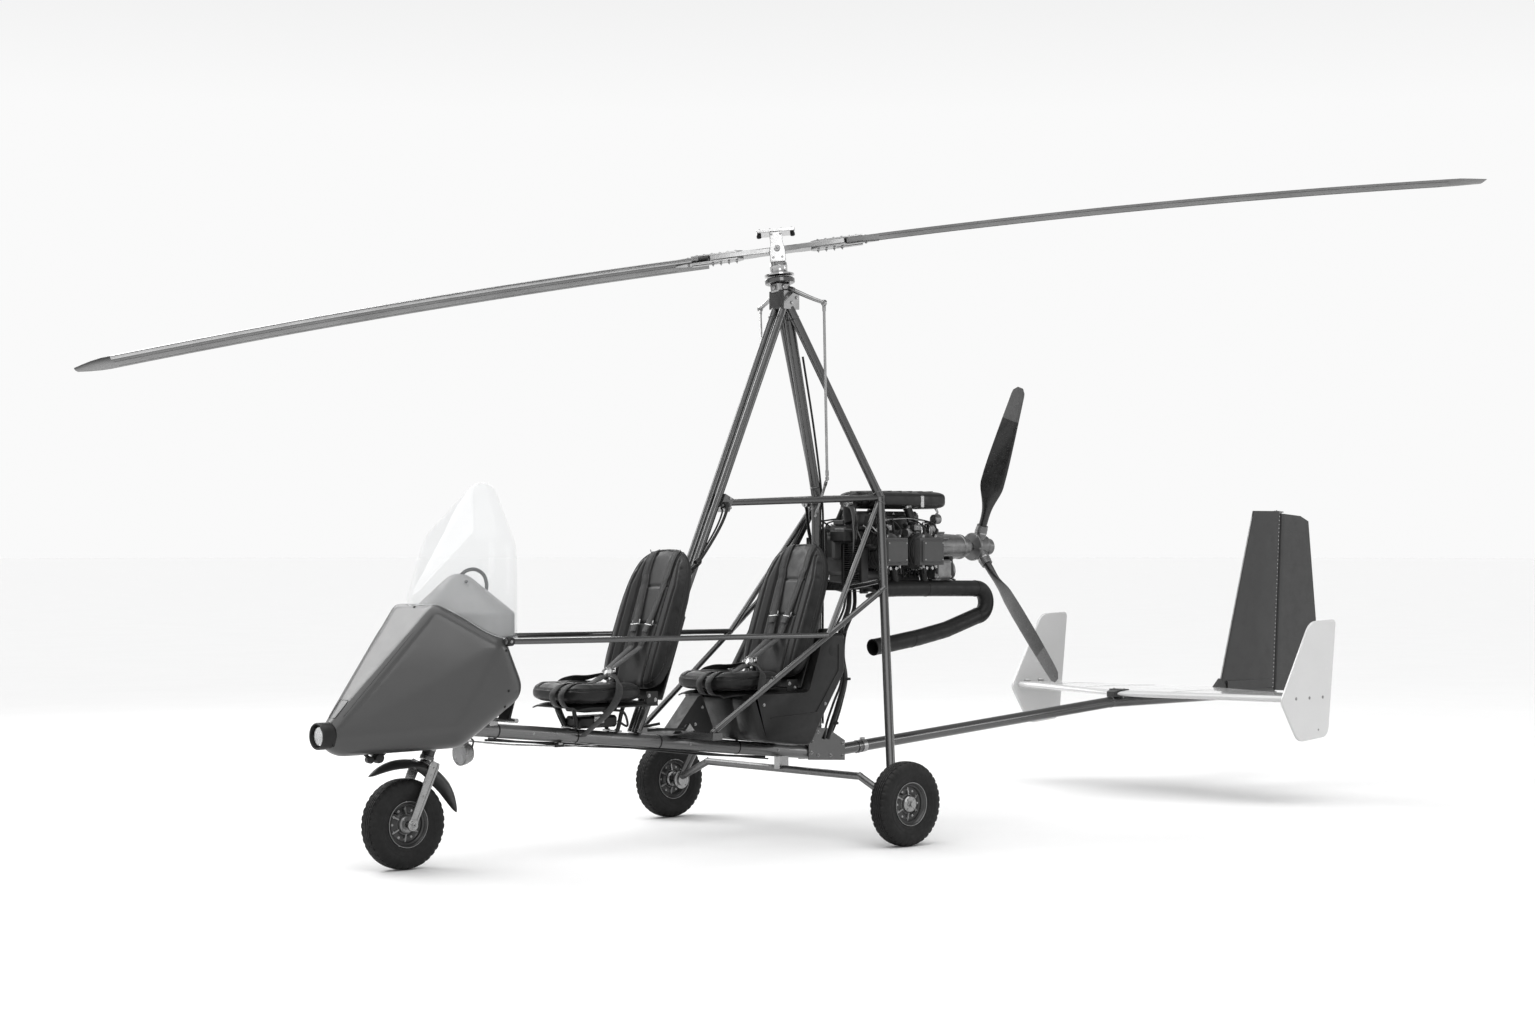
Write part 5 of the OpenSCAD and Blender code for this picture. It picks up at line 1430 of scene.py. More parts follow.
for i in (2, 4, 6):
    k.lathe([(-0.006, 0.020), (-0.006, 0.022), (0.006, 0.022), (0.006, 0.020)], hose[i] + Vector((-0.015, 0, 0)),
            (0, 0, 1), "black_plastic", 24, False, True)
k.done("engine_plumbing", "airframe", "black_plastic", (), 34)

# engine mount: ring, arms, rubber bushes and the bent straps up to the top cross tube
k = Kit()
rx = -0.265
k.slab([(-0.19, 1.190), (0.19, 1.190), (0.19, 1.224), (0.032, 1.236), (0.030, 1.500), (-0.030, 1.500),
        (-0.032, 1.236), (-0.19, 1.224)], 0.021, "frame_paint",
       Matrix.Translation(P(rx - 0.0115, 0, 0)) @ Matrix(((0, 0, 1, 0), (1, 0, 0, 0), (0, 1, 0, 0), (0, 0, 0, 1))), 0.002)
for s in (-1, 1):
    k.tube([P(rx - 0.012, s * 0.150, 1.207), P(-0.900, s * 0.070, 1.2035)], 0.0145, "frame_paint", 20)
    k.hose([(rx - 0.012, s * 0.175, 1.207), (-0.275, s * 0.240, 1.214), (-0.300, s * 0.380, 1.240)], 8, 0.0125,
           "frame_paint", 16)
    for x in (-0.860, -0.470):
        f = (x - rx + 0.012) / (-0.900 - rx + 0.012)
        y = s * (0.150 - 0.080 * f)
        k.lathe([(-0.012, 0.013), (-0.010, 0.020), (0.010, 0.020), (0.012, 0.013)], P(x, y, 1.216), (0, 0, 1),
                "rubber_hose", 24)
        k.bolt(P(x, y, 1.228), (0, 0, 1), 0.006)
    for y, z in ((0.165, 1.207), (0.10, 1.207)):
        k.bolt(P(rx - 0.022, s * y, z), (-1, 0, 0), 0.007)
    k.hose([(-0.300, s * 0.150, 1.628), (-0.330, s * 0.168, 1.600), (-0.345, s * 0.172, 1.50),
            (-0.365, s * 0.150, 1.38), (-0.395, s * 0.110, 1.285)], 8, 0.015, "frame_paint", 14, True, 0.28, (0, 1, 0))
    k.lathe([(-0.014, 0.021), (-0.012, 0.0245), (0.012, 0.0245), (0.014, 0.021)], P(-0.312, s * 0.153, 1.634),
            (1, 0, 0), "steel", 28)
k.block(P(-0.318, 0, 1.400), (0.066, 0.150, 0.112), "engine_metal", None, 0.012)
for y in (-0.055, 0.055):
    for z in (1.360, 1.440):
        k.bolt(P(-0.352, y, z), (-1, 0, 0), 0.006)
k.done("engine_mount_detail", "airframe", "frame_paint", "engine_mount", 34)

# intake manifold and covers filling the space under the air box
k = Kit()
k.block(P(-0.690, 0, 1.535), (0.430, 0.170, 0.110), "engine_metal", None, 0.022)
k.block(P(-0.690, 0.088, 1.535), (0.300, 0.014, 0.070), "black_plastic", None, 0.006)
k.block(P(-0.690, -0.088, 1.535), (0.300, 0.014, 0.070), "black_plastic", None, 0.006)
k.block(P(-0.415, 0, 1.400), (0.080, 0.200, 0.150), "engine_metal", None, 0.020)
for s in (-1, 1):
    k.hose([(-0.440, s * 0.060, 1.470), (-0.420, s * 0.120, 1.500), (-0.520, s * 0.150, 1.500),
            (-0.640, s * 0.120, 1.520)], 8, 0.013, "rubber_hose", 14)
    k.hose([(-0.900, s * 0.080, 1.520), (-0.960, s * 0.120, 1.470), (-0.930, s * 0.150, 1.400),
            (-0.860, s * 0.130, 1.330)], 8, 0.011, "rubber_hose", 14)
    for i in range(5):
        k.bolt(P(-0.860 + 0.085 * i, s * 0.096, 1.576), (0, s, 0), 0.0045)
k.done("intake_manifold_detail", "airframe", "engine_metal")
# air box: rounded plenum, joint band, clips and runners
k = Kit()
rings = []
for x, q in ((-1.046, 0.55), (-1.042, 0.78), (-1.028, 0.92), (-1.000, 0.985), (-0.92, 1.0), (-0.86, 1.0),
             (-0.855, 0.965), (-0.845, 0.965), (-0.840, 1.0),
             (-0.60, 1.0), (-0.55, 0.97), (-0.525, 0.88), (-0.514, 0.70)):
    ring = []
    for i in range(36):
        a = 2 * pi * i / 36
        ca, sa = cos(a), sin(a)
        n = (abs(ca) ** 4 + abs(sa) ** 4) ** -0.25
        ring.append(P(x, 0.148 * q * ca * n, 1.647 + 0.047 * q * sa * n * (1 if sa > 0 else 0.96)))
    rings.append(ring)
k.rings(rings, "black_plastic")
for s in (-1, 1):
    for x in (-0.760, -0.560):
        k.hose([(x, s * 0.118, 1.630), (x + 0.002, s * 0.140, 1.585), (x + 0.006, s * 0.160, 1.545),
                (x + 0.008, s * 0.168, 1.520)], 6, 0.0215, "rubber_hose", 20)
        k.clamp(P(x + 0.007, s * 0.163, 1.538), (0.0, 0.3 * s, -1), 0.0222)
        k.clamp(P(x + 0.001, s * 0.128, 1.606), (0.0, 0.35 * s, -1), 0.0222)
    k.block(P(-0.850, s * 0.146, 1.640), (0.024, 0.006, 0.060), "edge_light", None, 0.002)
for i in range(6):
    k.block(P(-0.96 + 0.075 * i, 0, 1.6935), (0.012, 0.220, 0.003), "black_plastic", None, 0.001)
k.lathe([(0, 0.040), (0.006, 0.043), (0.050, 0.043), (0.054, 0.038)], P(-0.520, 0.060, 1.648), (1, 0, 0),
        "rubber_hose", 32)
k.hose([(-0.475, 0.060, 1.648), (-0.43, 0.066, 1.645), (-0.392, 0.085, 1.625), (-0.380, 0.095, 1.580),
        (-0.376, 0.110, 1.530)], 8, 0.034, "rubber_hose", 24)
k.hose([(-1.040, -0.05, 1.64), (-1.062, 0.00, 1.628), (-1.058, 0.05, 1.590), (-1.010, 0.075, 1.560)], 8, 0.007,
       "steel", 10)
k.done("airbox_detail", "airframe", "airbox_alloy", "airbox", 34)

# exhaust: smooth pipe, weld beads, flanges, springs
k = Kit()
main = [P(-0.470, 0.215, 1.196), P(-0.600, 0.215, 1.198), P(-0.800, 0.215, 1.196), P(-1.000, 0.215, 1.193),
        P(-1.160, 0.215, 1.190)]
bend = [P(-1.180 - 0.072 * sin(a), 0.215, 1.118 + 0.072 * cos(a)) for a in [pi * i / 18 for i in range(0, 19)]]
tail = [P(-1.120, 0.215, 1.0288), P(-0.950, 0.215, 0.9807), P(-0.750, 0.215, 0.9455), P(-0.560, 0.215, 0.9205),
        P(-0.434, 0.215, 0.9055)]
line = main + bend + tail
k.tube(line, [0.0415] * len(line), "exhaust_metal", 36, False)
k.lathe([(0.0, 0.0415), (0.004, 0.0425), (0.010, 0.0425), (0.010, 0.036), (-0.06, 0.035)], tail[-1],
        tail[-1] - tail[-2], "exhaust_metal", 36, False)
k.lathe([(0.0, 0.0415), (0.014, 0.034), (0.016, 0.010)], main[0], (1, 0, 0), "exhaust_metal", 36)
for p, d in ((P(-1.168, 0.215, 1.190), Xv), (P(-1.178, 0.215, 1.046), Xv), (P(-0.80, 0.215, 1.196), Xv),
             (P(-0.70, 0.215, 0.938), Vector((-0.99, 0, -0.13)))):
    k.lathe([(-0.003, 0.0412), (-0.0018, 0.0432), (0.0018, 0.0432), (0.003, 0.0412)], p, d, "exhaust_metal", 36,
            False, True)
for x in (-0.580, -0.790):
    k.hose([(x, 0.215, 1.215), (x + 0.004, 0.218, 1.250), (x + 0.012, 0.220, 1.280), (x + 0.020, 0.225, 1.315)], 6,
           0.0195, "exhaust_metal", 20)
    k.lathe([(-0.005, 0.020), (-0.004, 0.034), (0.004, 0.034), (0.005, 0.020)], P(x + 0.018, 0.223, 1.306),
            (0.1, 0.1, 1), "steel", 28)
k.tube([P(-1.02, 0.215, 1.235), P(-1.00, 0.150, 1.262), P(-0.93, 0.105, 1.290)], 0.006, "steel", 10)
k.done("exhaust_pipe", "airframe", "exhaust_metal", "exhaust", 40)


# ---------------------------------------------------------------- propeller
def foil(chord, t, n=18, sharp=0.0):
    """A closed blade section, nose at 0, in x (chord) and y (thickness)."""
    up_, lo = [], []
    for i in range(n + 1):
        x = 0.5 * (1 - cos(pi * i / n))
        y = 5 * t * (0.2969 * math.sqrt(x) - 0.126 * x - 0.3516 * x * x + 0.2843 * x ** 3 - 0.1036 * x ** 4) + 0.0006 * x
        up_.append((x * chord, y * 1.15))
        lo.append((x * chord, -y * 0.75))
    return up_ + lo[-2:0:-1]


k = Kit()
hubc = P(-1.412, 0, PZ)
park = rad(20.9)
bk = Kit()
for b_i in range(3):
    a = -(park + b_i * 2 * pi / 3)
    R = Matrix.Rotation(a, 3, "X")
    rings = []
    N_ = 34
    for i in range(N_ + 1):
        f = i / N_
        r = 0.122 + (0.8925 - 0.122) * f
        g = min(1.0, f / 0.30)
        g = g * g * (3 - 2 * g)
        chord = 0.044 + 0.088 * g - 0.056 * max(0, (f - 0.38) / 0.62) ** 1.3
        chord *= 1 - 0.55 * max(0.0, (f - 0.955) / 0.045) ** 2
        thick = 0.020 * (1 - g) + 0.0082 * g * (1 - 0.55 * f)
        tw = -rad(58 + 22 * min(1, f / 0.9)) if f > 0.04 else -rad(58)
        sec = foil(chord, thick)
        ring = []
        for j, (sx, sy) in enumerate(sec):
            jj = 2 * pi * j / len(sec)
            round_ = (-cos(jj) * 0.022, sin(jj) * 0.022)
            px = (1 - g) * round_[0] + g * (sx - chord * 0.42)
            py = (1 - g) * round_[1] + g * sy
            # local: Z along the blade, X fore-aft, Y across
            x, y = px * cos(tw) - py * sin(tw), px * sin(tw) + py * cos(tw)
            ring.append(hubc + R @ Vector((x, y, r)))
        rings.append(ring)
    cut_ = 26
    bk.rings(rings[:cut_ + 1], "prop_composite", False)
    bk.rings(rings[cut_:], "prop_tip", True)
    bk.add(rings[0], [list(range(len(rings[0])))], "prop_composite")
bk.done("propeller_blade_set", "propeller", "prop_composite", "propeller_blades", 60)
k.lathe([(-0.042, 0.0206), (-0.042, 0.070), (-0.038, 0.0745), (-0.030, 0.0745), (-0.026, 0.062), (-0.010, 0.056),
         (0.036, 0.056), (0.042, 0.062), (0.048, 0.062),
         (0.052, 0.056), (0.052, 0.0206)], hubc, (-1, 0, 0), "hub_grey", 64, False, True)
k.lathe([(0.052, 0.044), (0.092, 0.044), (0.096, 0.040), (0.096, 0.012), (0.092, 0.010)], hubc, (-1, 0, 0),
        "hub_grey", 48)
for i in range(6):
    a = 2 * pi * (i + 0.5) / 6 + park
    d = Vector((0, cos(a), sin(a)))
    k.bolt(hubc + d * 0.033 + Vector((-0.0955, 0, 0)), (-1, 0, 0), 0.0048)
    k.bolt(hubc + d * 0.067 + Vector((0.0415, 0, 0)), (1, 0, 0), 0.0048, nut=True)
for b_i in range(3):
    a = -(park + b_i * 2 * pi / 3)
    d = Matrix.Rotation(a, 3, "X") @ Zv
    k.lathe([(0.048, 0.032), (0.106, 0.032), (0.110, 0.030), (0.121, 0.030), (0.1215, 0.0245)], hubc, d, "hub_grey",
            40)
    for h in (0.070, 0.096):
        for sx in (-1, 1):
            q = hubc + d * h + Vector((sx * 0.031, 0, 0))
            k.bolt(q, (sx, 0, 0), 0.0045)
    k.lathe([(-0.004, 0.0318), (-0.004, 0.0335), (0.004, 0.0335), (0.004, 0.0318)], hubc + d * 0.083, d, "steel", 40,
            False, True)
k.done("propeller_hub_detail", "propeller", "steel", "propeller_hub", 34)


# ---------------------------------------------------------------- rotor head and rotor
c75, s75 = cos(rad(7.5)), sin(rad(7.5))
head = P(0.009, -0.162 * s75, 2.723 + 0.162 * c75)
Hm = Matrix.Translation(head) @ Matrix.Rotation(rad(7.5), 4, "X")          # tilted head
Tm = Hm @ Matrix.Rotation(rad(-42), 4, "Z")                                # turned with the rotor
Bm = Tm @ Matrix.Rotation(rad(2.6), 4, "Y")                                # and teetered
hax = (Hm.to_3x3() @ Zv).normalized()


def hp(m, x, y, z):
    return m @ Vector((x, y, z))


k = Kit()      # fixed head: bearing plate, gimbal block, bolts
k.lathe([(-0.1675, 0.020), (-0.1675, 0.071), (-0.165, 0.0745), (-0.148, 0.0748), (-0.142, 0.068), (-0.139, 0.052),
         (-0.1385, 0.0205)],
        head, hax, "frame_paint", 56, False, True)
k.lathe([(-0.179, 0.014), (-0.179, 0.0198), (-0.051, 0.0198), (-0.0505, 0.014)], head, hax, "polished", 32, False,
        True)
k.block(hp(Hm, 0, 0, -0.189), (0.088, 0.062, 0.044), "steel", Hm.to_3x3(), 0.006)
for s in (-1, 1):
    k.lathe([(0, 0.017), (0.006, 0.017), (0.009, 0.013)], hp(Hm, 0.0, s * 0.031, -0.189),
            Hm.to_3x3() @ Vector((0, s, 0)), "steel", 28)
    k.lathe([(0, 0.013), (0.004, 0.013), (0.006, 0.009)], hp(Hm, s * 0.044, 0.0, -0.189),
            Hm.to_3x3() @ Vector((s, 0, 0)), "steel", 6)
for i in range(8):
    a = 2 * pi * i / 8
    k.bolt(hp(Hm, 0.061 * cos(a), 0.061 * sin(a), -0.1455), hax, 0.0048)
k.done("rotor_head_detail", "airframe", "steel", "rotor_head", 34)

k = Kit()      # turning tower: bearing housing, cheeks, stops and cap
k.lathe([(-0.132, 0.0208), (-0.132, 0.066), (-0.130, 0.0738), (-0.122, 0.0738), (-0.119, 0.066), (-0.117, 0.0445),
         (-0.108, 0.0432), (-0.086, 0.0432), (-0.084, 0.0445),
         (-0.079, 0.0445), (-0.077, 0.0432), (-0.066, 0.0432), (-0.061, 0.040), (-0.060, 0.0208)], head, hax, "polished", 64, False, True)
T3 = Tm.to_3x3()
for s in (-1, 1):
    prof = [(-0.038, -0.062), (0.038, -0.062), (0.038, -0.010), (0.030, 0.030), (0.030, 0.084), (-0.030, 0.084),
            (-0.030, 0.030), (-0.038, -0.010)]
    k.slab(prof, 0.0118, "polished", Tm @ Matrix.Translation((0, s * 0.058, 0)) @ Matrix.Rotation(pi / 2, 4, "X"),
           0.0022)
    k.block(hp(Tm, 0, s * 0.032, -0.060), (0.074, 0.062, 0.0118), "polished", T3, 0.002)
    k.lathe([(0, 0.0158), (0.006, 0.0158), (0.009, 0.013)], hp(Tm, 0, s * 0.064, 0), T3 @ Vector((0, s, 0)), "steel",
            28)
    k.bolt(hp(Tm, 0, s * 0.072, 0), T3 @ Vector((0, s, 0)), 0.0052, nut=True)
    for dx in (-0.022, 0.022):
        k.bolt(hp(Tm, dx, s * 0.064, -0.045), T3 @ Vector((0, s, 0)), 0.0046)
        k.bolt(hp(Tm, dx, s * 0.064, 0.072), T3 @ Vector((0, s, 0)), 0.0046)
k.block(hp(Tm, 0, 0, 0.092), (0.190, 0.126, 0.0156), "polished", T3, 0.003)
for x in (-0.080, -0.028, 0.028, 0.080):
    for y in (-0.048, 0.048):
        k.bolt(hp(Tm, x, y, 0.0995), hax, 0.0052)
for s in (-1, 1):
    k.lathe([(0, 0.012), (0.012, 0.012), (0.016, 0.008)], hp(Tm, s * 0.084, 0, 0.0845), -hax, "rubber_hose", 20)
k.done("rotor_tower_detail", "rotor_mount", "steel", "rotor_tower", 34)

k = Kit()      # hub bar with straps and through bolts
B3 = Bm.to_3x3()
k.slab([(-0.345, -0.036), (-0.335, -0.047), (-0.12, -0.047), (-0.09, -0.040), (0.09, -0.040), (0.12, -0.047),
        (0.335, -0.047), (0.345, -0.036),
        (0.345, 0.036), (0.335, 0.047), (0.12, 0.047), (0.09, 0.040), (-0.09, 0.040), (-0.12, 0.047), (-0.335, 0.047), (-0.345, 0.036)], 0.0262, "rotor_alloy", Bm, 0.003)
k.lathe([(-0.064, 0.0079), (0.064, 0.0079)], hp(Bm, 0, 0, 0), B3 @ Yv, "polished", 28)
k.lathe([(-0.051, 0.020), (-0.048, 0.022), (0.048, 0.022), (0.051, 0.020)], hp(Bm, 0, 0, 0), B3 @ Yv, "rotor_alloy",
        32)
for s in (-1, 1):
    for z in (-1, 1):
        pts = [(0.170, -0.020), (0.190, -0.036), (0.215, -0.0395), (0.430, -0.0395), (0.430, -0.012), (0.30, -0.008),
               (0.29, 0.0), (0.30, 0.008), (0.430, 0.012), (0.430, 0.0395),
               (0.215, 0.0395), (0.190, 0.036), (0.170, 0.020)]
        k.slab([(s * x, y) for x, y in pts], 0.0076, "rotor_alloy", Bm @ Matrix.Translation((0, 0, z * 0.0172)),
               0.0012)
    for x in (0.205, 0.245, 0.285, 0.325):
        for y in (-0.026, 0.026):
            k.bolt(hp(Bm, s * x, y, 0.0208), B3 @ Zv, 0.0056)
            k.bolt(hp(Bm, s * x, y, -0.0208), B3 @ -Zv, 0.0056, nut=True)
    for x in (0.365, 0.400):
        for y in (-0.026, 0.026):
            k.bolt(hp(Bm, s * x, y, 0.0208), B3 @ Zv, 0.0050)
k.done("hub_bar_detail", "rotor", "steel", "hub_bar", 34)

def section(x):
    """Half thickness of the rotor blade in metres, at the fraction x of its chord."""
    return 5 * 0.0258 * (0.2969 * math.sqrt(x) - 0.126 * x - 0.3516 * x * x + 0.2843 * x ** 3 - 0.1015 * x ** 4)


k = Kit()      # blades: section, rib line, a painted highlight strip along the leading edge, grips, swept tips
span = 3.540 - 0.345
curve_r = span * span / 2 / 0.120
chord = 0.215
for s in (0, 1):
    Sm = Bm @ Matrix.Rotation(pi * s, 4, "Z") @ Matrix.Translation((0.3453, 0, 0)) @ Matrix.Rotation(rad(4.5), 4,
            "X") @ Matrix.Translation((0, chord * 0.25, 0))

    def q(along, c, h):
        a = along / curve_r
        return Sm @ Vector((curve_r * sin(a) + h * sin(a), -c, -curve_r * (1 - cos(a)) + h * cos(a)))
    sec = []
    n = 20
    up_, lo = [], []
    for i in range(n + 1):
        x = (i / n) ** 2
        y = section(x)
        up_.append((x, max(y, 0.0003)))
        lo.append((x, -max(y, 0.0003)))
    sec = up_ + lo[-1:0:-1]
    rings = []
    L = span - 0.0006
    for i in range(49):
        f = i / 48
        along = 0.0003 + L * min(1,
                                 f / 0.94) * 0.955 if f <= 0.94 else 0.0003 + L * (0.955 + 0.045 * (f - 0.94) / 0.06)
        t = max(0, (f - 0.94) / 0.06)
        lead = (chord * 0.34 * t ** 1.3) if s == 0 else 0.0
        trail = chord * (1 - (0.30 * t ** 1.5 if s == 0 else 0.34 * t))
        ring = [q(along, lead + (trail - lead) * x, y * (1 - 0.55 * t)) for x, y in sec]
        rings.append(ring)
    k.rings(rings, "rotor_skin")
    # painted highlight: a light metal strip wrapped round the leading edge, standing in for the light the rounded nose
    # catches
    for side in (1, -1):
        strip = [[q(0.05 + (L - 0.25) * i / 60, c,
                    side * (0.0258 * 5 * (0.2969 * math.sqrt(max(c, 0.0001) / chord) - 0.126 * c / chord - 0.3516 * (c / chord) ** 2) + 0.0007))
                  for c in (0.0002, 0.003, 0.008, 0.014, 0.020)] for i in range(61)]
        k.rings(strip, "edge_light", False, False, False)
    for c in (0.062, 0.168):
        for side in (1, -1):
            x = c / chord
            h = section(x)
            k.tube([q(0.16 + (L - 0.36) * i / 40, c, side * (h + 0.0001)) for i in range(41)], 0.0008, "rotor_skin",
                   5)
    for side in (1, -1):
        grip = [(0.0005, 0.030), (0.120, 0.030), (0.165, 0.044), (0.165, 0.060), (0.120, 0.078), (0.0005, 0.078)]
        pts = []
        for a_, c in grip:
            x = c / chord
            h = section(x)
            pts += [q(a_, c, side * h), q(a_, c, side * (h + 0.004))]
        k.hull(pts, "rotor_alloy")
        for a_ in (0.03, 0.065, 0.10):
            for c in (0.042, 0.066):
                x = c / chord
                h = section(x)
                k.bolt(q(a_, c, side * (h + 0.0035)), B3 @ (Zv * side), 0.0050)
k.done("rotor_blade_set", "rotor", "rotor_skin", "rotor_blades", 40)

k = Kit()      # control arms, ball joints and push rods
arm = lambda s: P(-0.070, s * 0.235, 2.612)


def rod_end(k, p, axis, r=0.015):
    k.lathe([(-0.008, r * 0.75), (-0.006, r), (0.006, r), (0.008, r * 0.75)], p, axis, "steel", 24)
    k.bolt(Vector(p) + Vector(axis).normalized() * 0.008, axis, 0.0052, nut=True)
    k.bolt(Vector(p) - Vector(axis).normalized() * 0.008, -Vector(axis), 0.0052)


for s in (-1, 1):
    k.tube(smooth_path([P(-0.020, s * 0.031, 2.695), P(-0.035, s * 0.085, 2.672), P(-0.052, s * 0.160, 2.640),
                        arm(s)], 6), [0.0125 - 0.003 * i / 18 for i in range(19)], "steel", 16)
    k.lathe([(-0.010, 0.014), (0.010, 0.014)], P(-0.026, s * 0.052, 2.687), Vector((-0.2, s, -0.35)), "steel", 20)
    rod_end(k, arm(s), (1, 0, 0), 0.0155)
knee = P(-0.200, 0.120, 1.750)
for a, b in ((P(-0.205, 0.030, 1.560), knee), (knee, arm(1)), (P(0.060, -0.080, 2.400), arm(-1)),
             (P(0.060, -0.080, 2.400), P(0.084, -0.030, 2.380))):
    k.tube([a, b], 0.0068, "steel", 16)
    d = (b - a).normalized()
    for e, u in ((a, d), (b, -d)):
        if (b - a).length > 0.2:
            k.lathe([(0.014, 0.0072), (0.016, 0.0088), (0.040, 0.0088), (0.043, 0.0072)], e, u, "steel", 6)
k.lathe([(-0.008, 0.0088), (-0.004, 0.0095), (0.004, 0.0095), (0.008, 0.0088)], knee, (0.3, 0.2, 1), "steel", 20)
k.done("control_linkage", "airframe", "steel", "control_rods", 34)


# ---------------------------------------------------------------- tail
k = Kit()      # stabiliser: thick rounded nose, tapering to the rear, glossy
SZ = 0.579
rings = []
for i in range(45):
    y = -0.9718 + 1.9436 * i / 44
    f = abs(y) / 0.972
    x0, x1 = -2.514 - 0.283 * f, -3.400 + 0.249 * f
    ring = []
    for side in (1, -1):
        for j in range(21):
            u = j / 20 if side > 0 else 1 - j / 20
            u = u ** 1.6 if side > 0 else (1 - j / 20) ** 1.6
            x = x0 + (x1 - x0) * u
            h = 0.0175 * min(1.0, math.sqrt(u / 0.045)) if u < 0.045 else 0.0175 - 0.0145 * max(0, (u - 0.42) / 0.58)
            ring.append(P(x, y, SZ + side * max(h, 0.0025)))
    rings.append(ring)
k.rings(rings, "white_paint")
k.done("stabiliser_skin", "airframe", "white_paint", "stabiliser", 50)

k = Kit()      # clamps and bolts that hold it on the boom
for x, w in ((-2.575, 0.060),):
    k.block(P(x, 0, 0.600), (w, 0.100, 0.006), "tail_paint", None, 0.002)
    for s in (-1, 1):
        k.bolt(P(x, s * 0.038, 0.602), (0, 0, 1), 0.0052)
        k.bolt(P(x, s * 0.030, 0.560), (0, 0, -1), 0.0048, nut=True)
k.hull([P(x, y, z) for x, w,
        z in ((-2.500, 0.026, 0.560), (-2.500, 0.026, 0.590), (-2.555, 0.040, 0.560), (-2.555, 0.040, 0.6005)) for y in (-w, w)], "tail_paint")
for s in (-1, 1):      # skin seam lines along the stabiliser ribs
    for f in (0.33, 0.66):
        y = s * 0.972 * f
        x0, x1 = -2.514 - 0.283 * f, -3.400 + 0.249 * f
        k.tube([P(x0 - 0.05, y, SZ + 0.0176), P(x0 + (x1 - x0) * 0.42, y, SZ + 0.0176),
                P(x1 + 0.04, y, SZ + 0.0048)], 0.0007, "cowl_grey", 5)
k.done("stabiliser_fittings", "airframe", "tail_paint")


def rounded(poly, rr_, n=6):
    out = []
    m = len(poly)
    for i in range(m):
        a, b, c = (Vector(poly[(i + q) % m]) for q in (-1, 0, 1))
        r = min(rr_[i] if isinstance(rr_, (list, tuple)) else rr_, (a - b).length * 0.45, (c - b).length * 0.45)
        p0, p1 = b + (a - b).normalized() * r, b + (c - b).normalized() * r
        for t in [j / n for j in range(n + 1)]:
            out.append(tuple(p0.lerp(b, t).lerp(b.lerp(p1, t), t)))
    return out


XZ = Matrix(((1, 0, 0, 0), (0, 0, 1, 0), (0, 1, 0, 0), (0, 0, 0, 1)))      # local x, y, z -> X, Z, Y
k = Kit()
poly = rounded([(-2.750, 0.567), (-2.902, 0.341), (-3.172, 0.362), (-3.247, 1.003), (-3.013, 0.997)],
               [0.03, 0.05, 0.05, 0.035, 0.06])
for s in (-1, 1):
    k.slab([(x + AX, z) for x, z in poly], 0.0176, "white_paint", Matrix.Translation((0, s * 0.981, 0)) @ XZ, 0.0045)
    for x in (-2.88, -3.00, -3.12):
        k.lathe([(0, 0.009), (0.0012, 0.009), (0.003, 0.0045)], P(x, s * 0.9895, SZ), (0, s, 0), "cowl_grey", 20)
        k.block(P(x, s * 0.966, 0.6035), (0.050, 0.012, 0.012), "white_paint", None, 0.003)
    k.lathe([(0, 0.006), (0.001, 0.006), (0.002, 0.003)], P(-3.08, s * 0.9895, 0.402), (0, s, 0), "cowl_grey", 16)
k.done("end_plate_set", "airframe", "white_paint", "end_plates", 40)

# fin: smooth symmetrical section between its leading and rear edges
FF = 0.532 + 0.030 - 0.005
k = Kit()
lean = tan(rad(3.8))
hx = lambda z: -4.001 - (z - 0.539) * lean
rings = []
for i in range(37):
    f = i / 36
    z = FF + (1.612 - FF) * f
    x0 = -3.470 - 0.328 * f
    x1 = hx(z) + 0.0275
    tt = 0.0190 * (1 - 0.10 * f)
    if f > 0.985:
        tt *= 0.75
    ring = []
    for side in (1, -1):
        for j in range(19):
            u = (j / 18 if side > 0 else 1 - j / 18)
            u = u ** 1.5
            h = 0.0066 + (tt - 0.0066) * min(1, u / 0.55) if u > 0.02 else 0.0066 * math.sqrt(u / 0.02)
            h = h - 0.002 * max(0, (u - 0.9) / 0.1)
            ring.append(P(x0 + (x1 - x0) * u, side * max(h, 0.0004), z))
    rings.append(ring)
k.rings(rings, "tail_paint")
k.tube([P(-3.4705 - 0.328 * i / 30, 0, FF + 0.012 + (1.600 - FF) * i / 30) for i in range(30)], 0.0034, "edge_light",
       8, True, 1.0)
k.hull([P(x, y, z) for x, y,
        z in ((-3.400, 0.010, 0.560), (-3.400, -0.010, 0.560), (-3.475, 0.008, 0.628), (-3.475, -0.008, 0.628), (-3.560, 0.014, 0.558), (-3.560, -0.014, 0.558))], "tail_paint")
for s in (-1, 1):
    for i in range(9):
        k.lathe([(0, 0.0042), (0.0008, 0.0042), (0.0016, 0.002)], P(-3.56 - 0.045 * i, s * 0.0165, 0.605), (0, s, 0),
                "steel", 10)
    k.block(P(-3.72, s * 0.0185, 0.582), (0.380, 0.004, 0.060), "tail_paint", None, 0.0015)
k.done("fin_skin", "airframe", "tail_paint", "fin", 40)

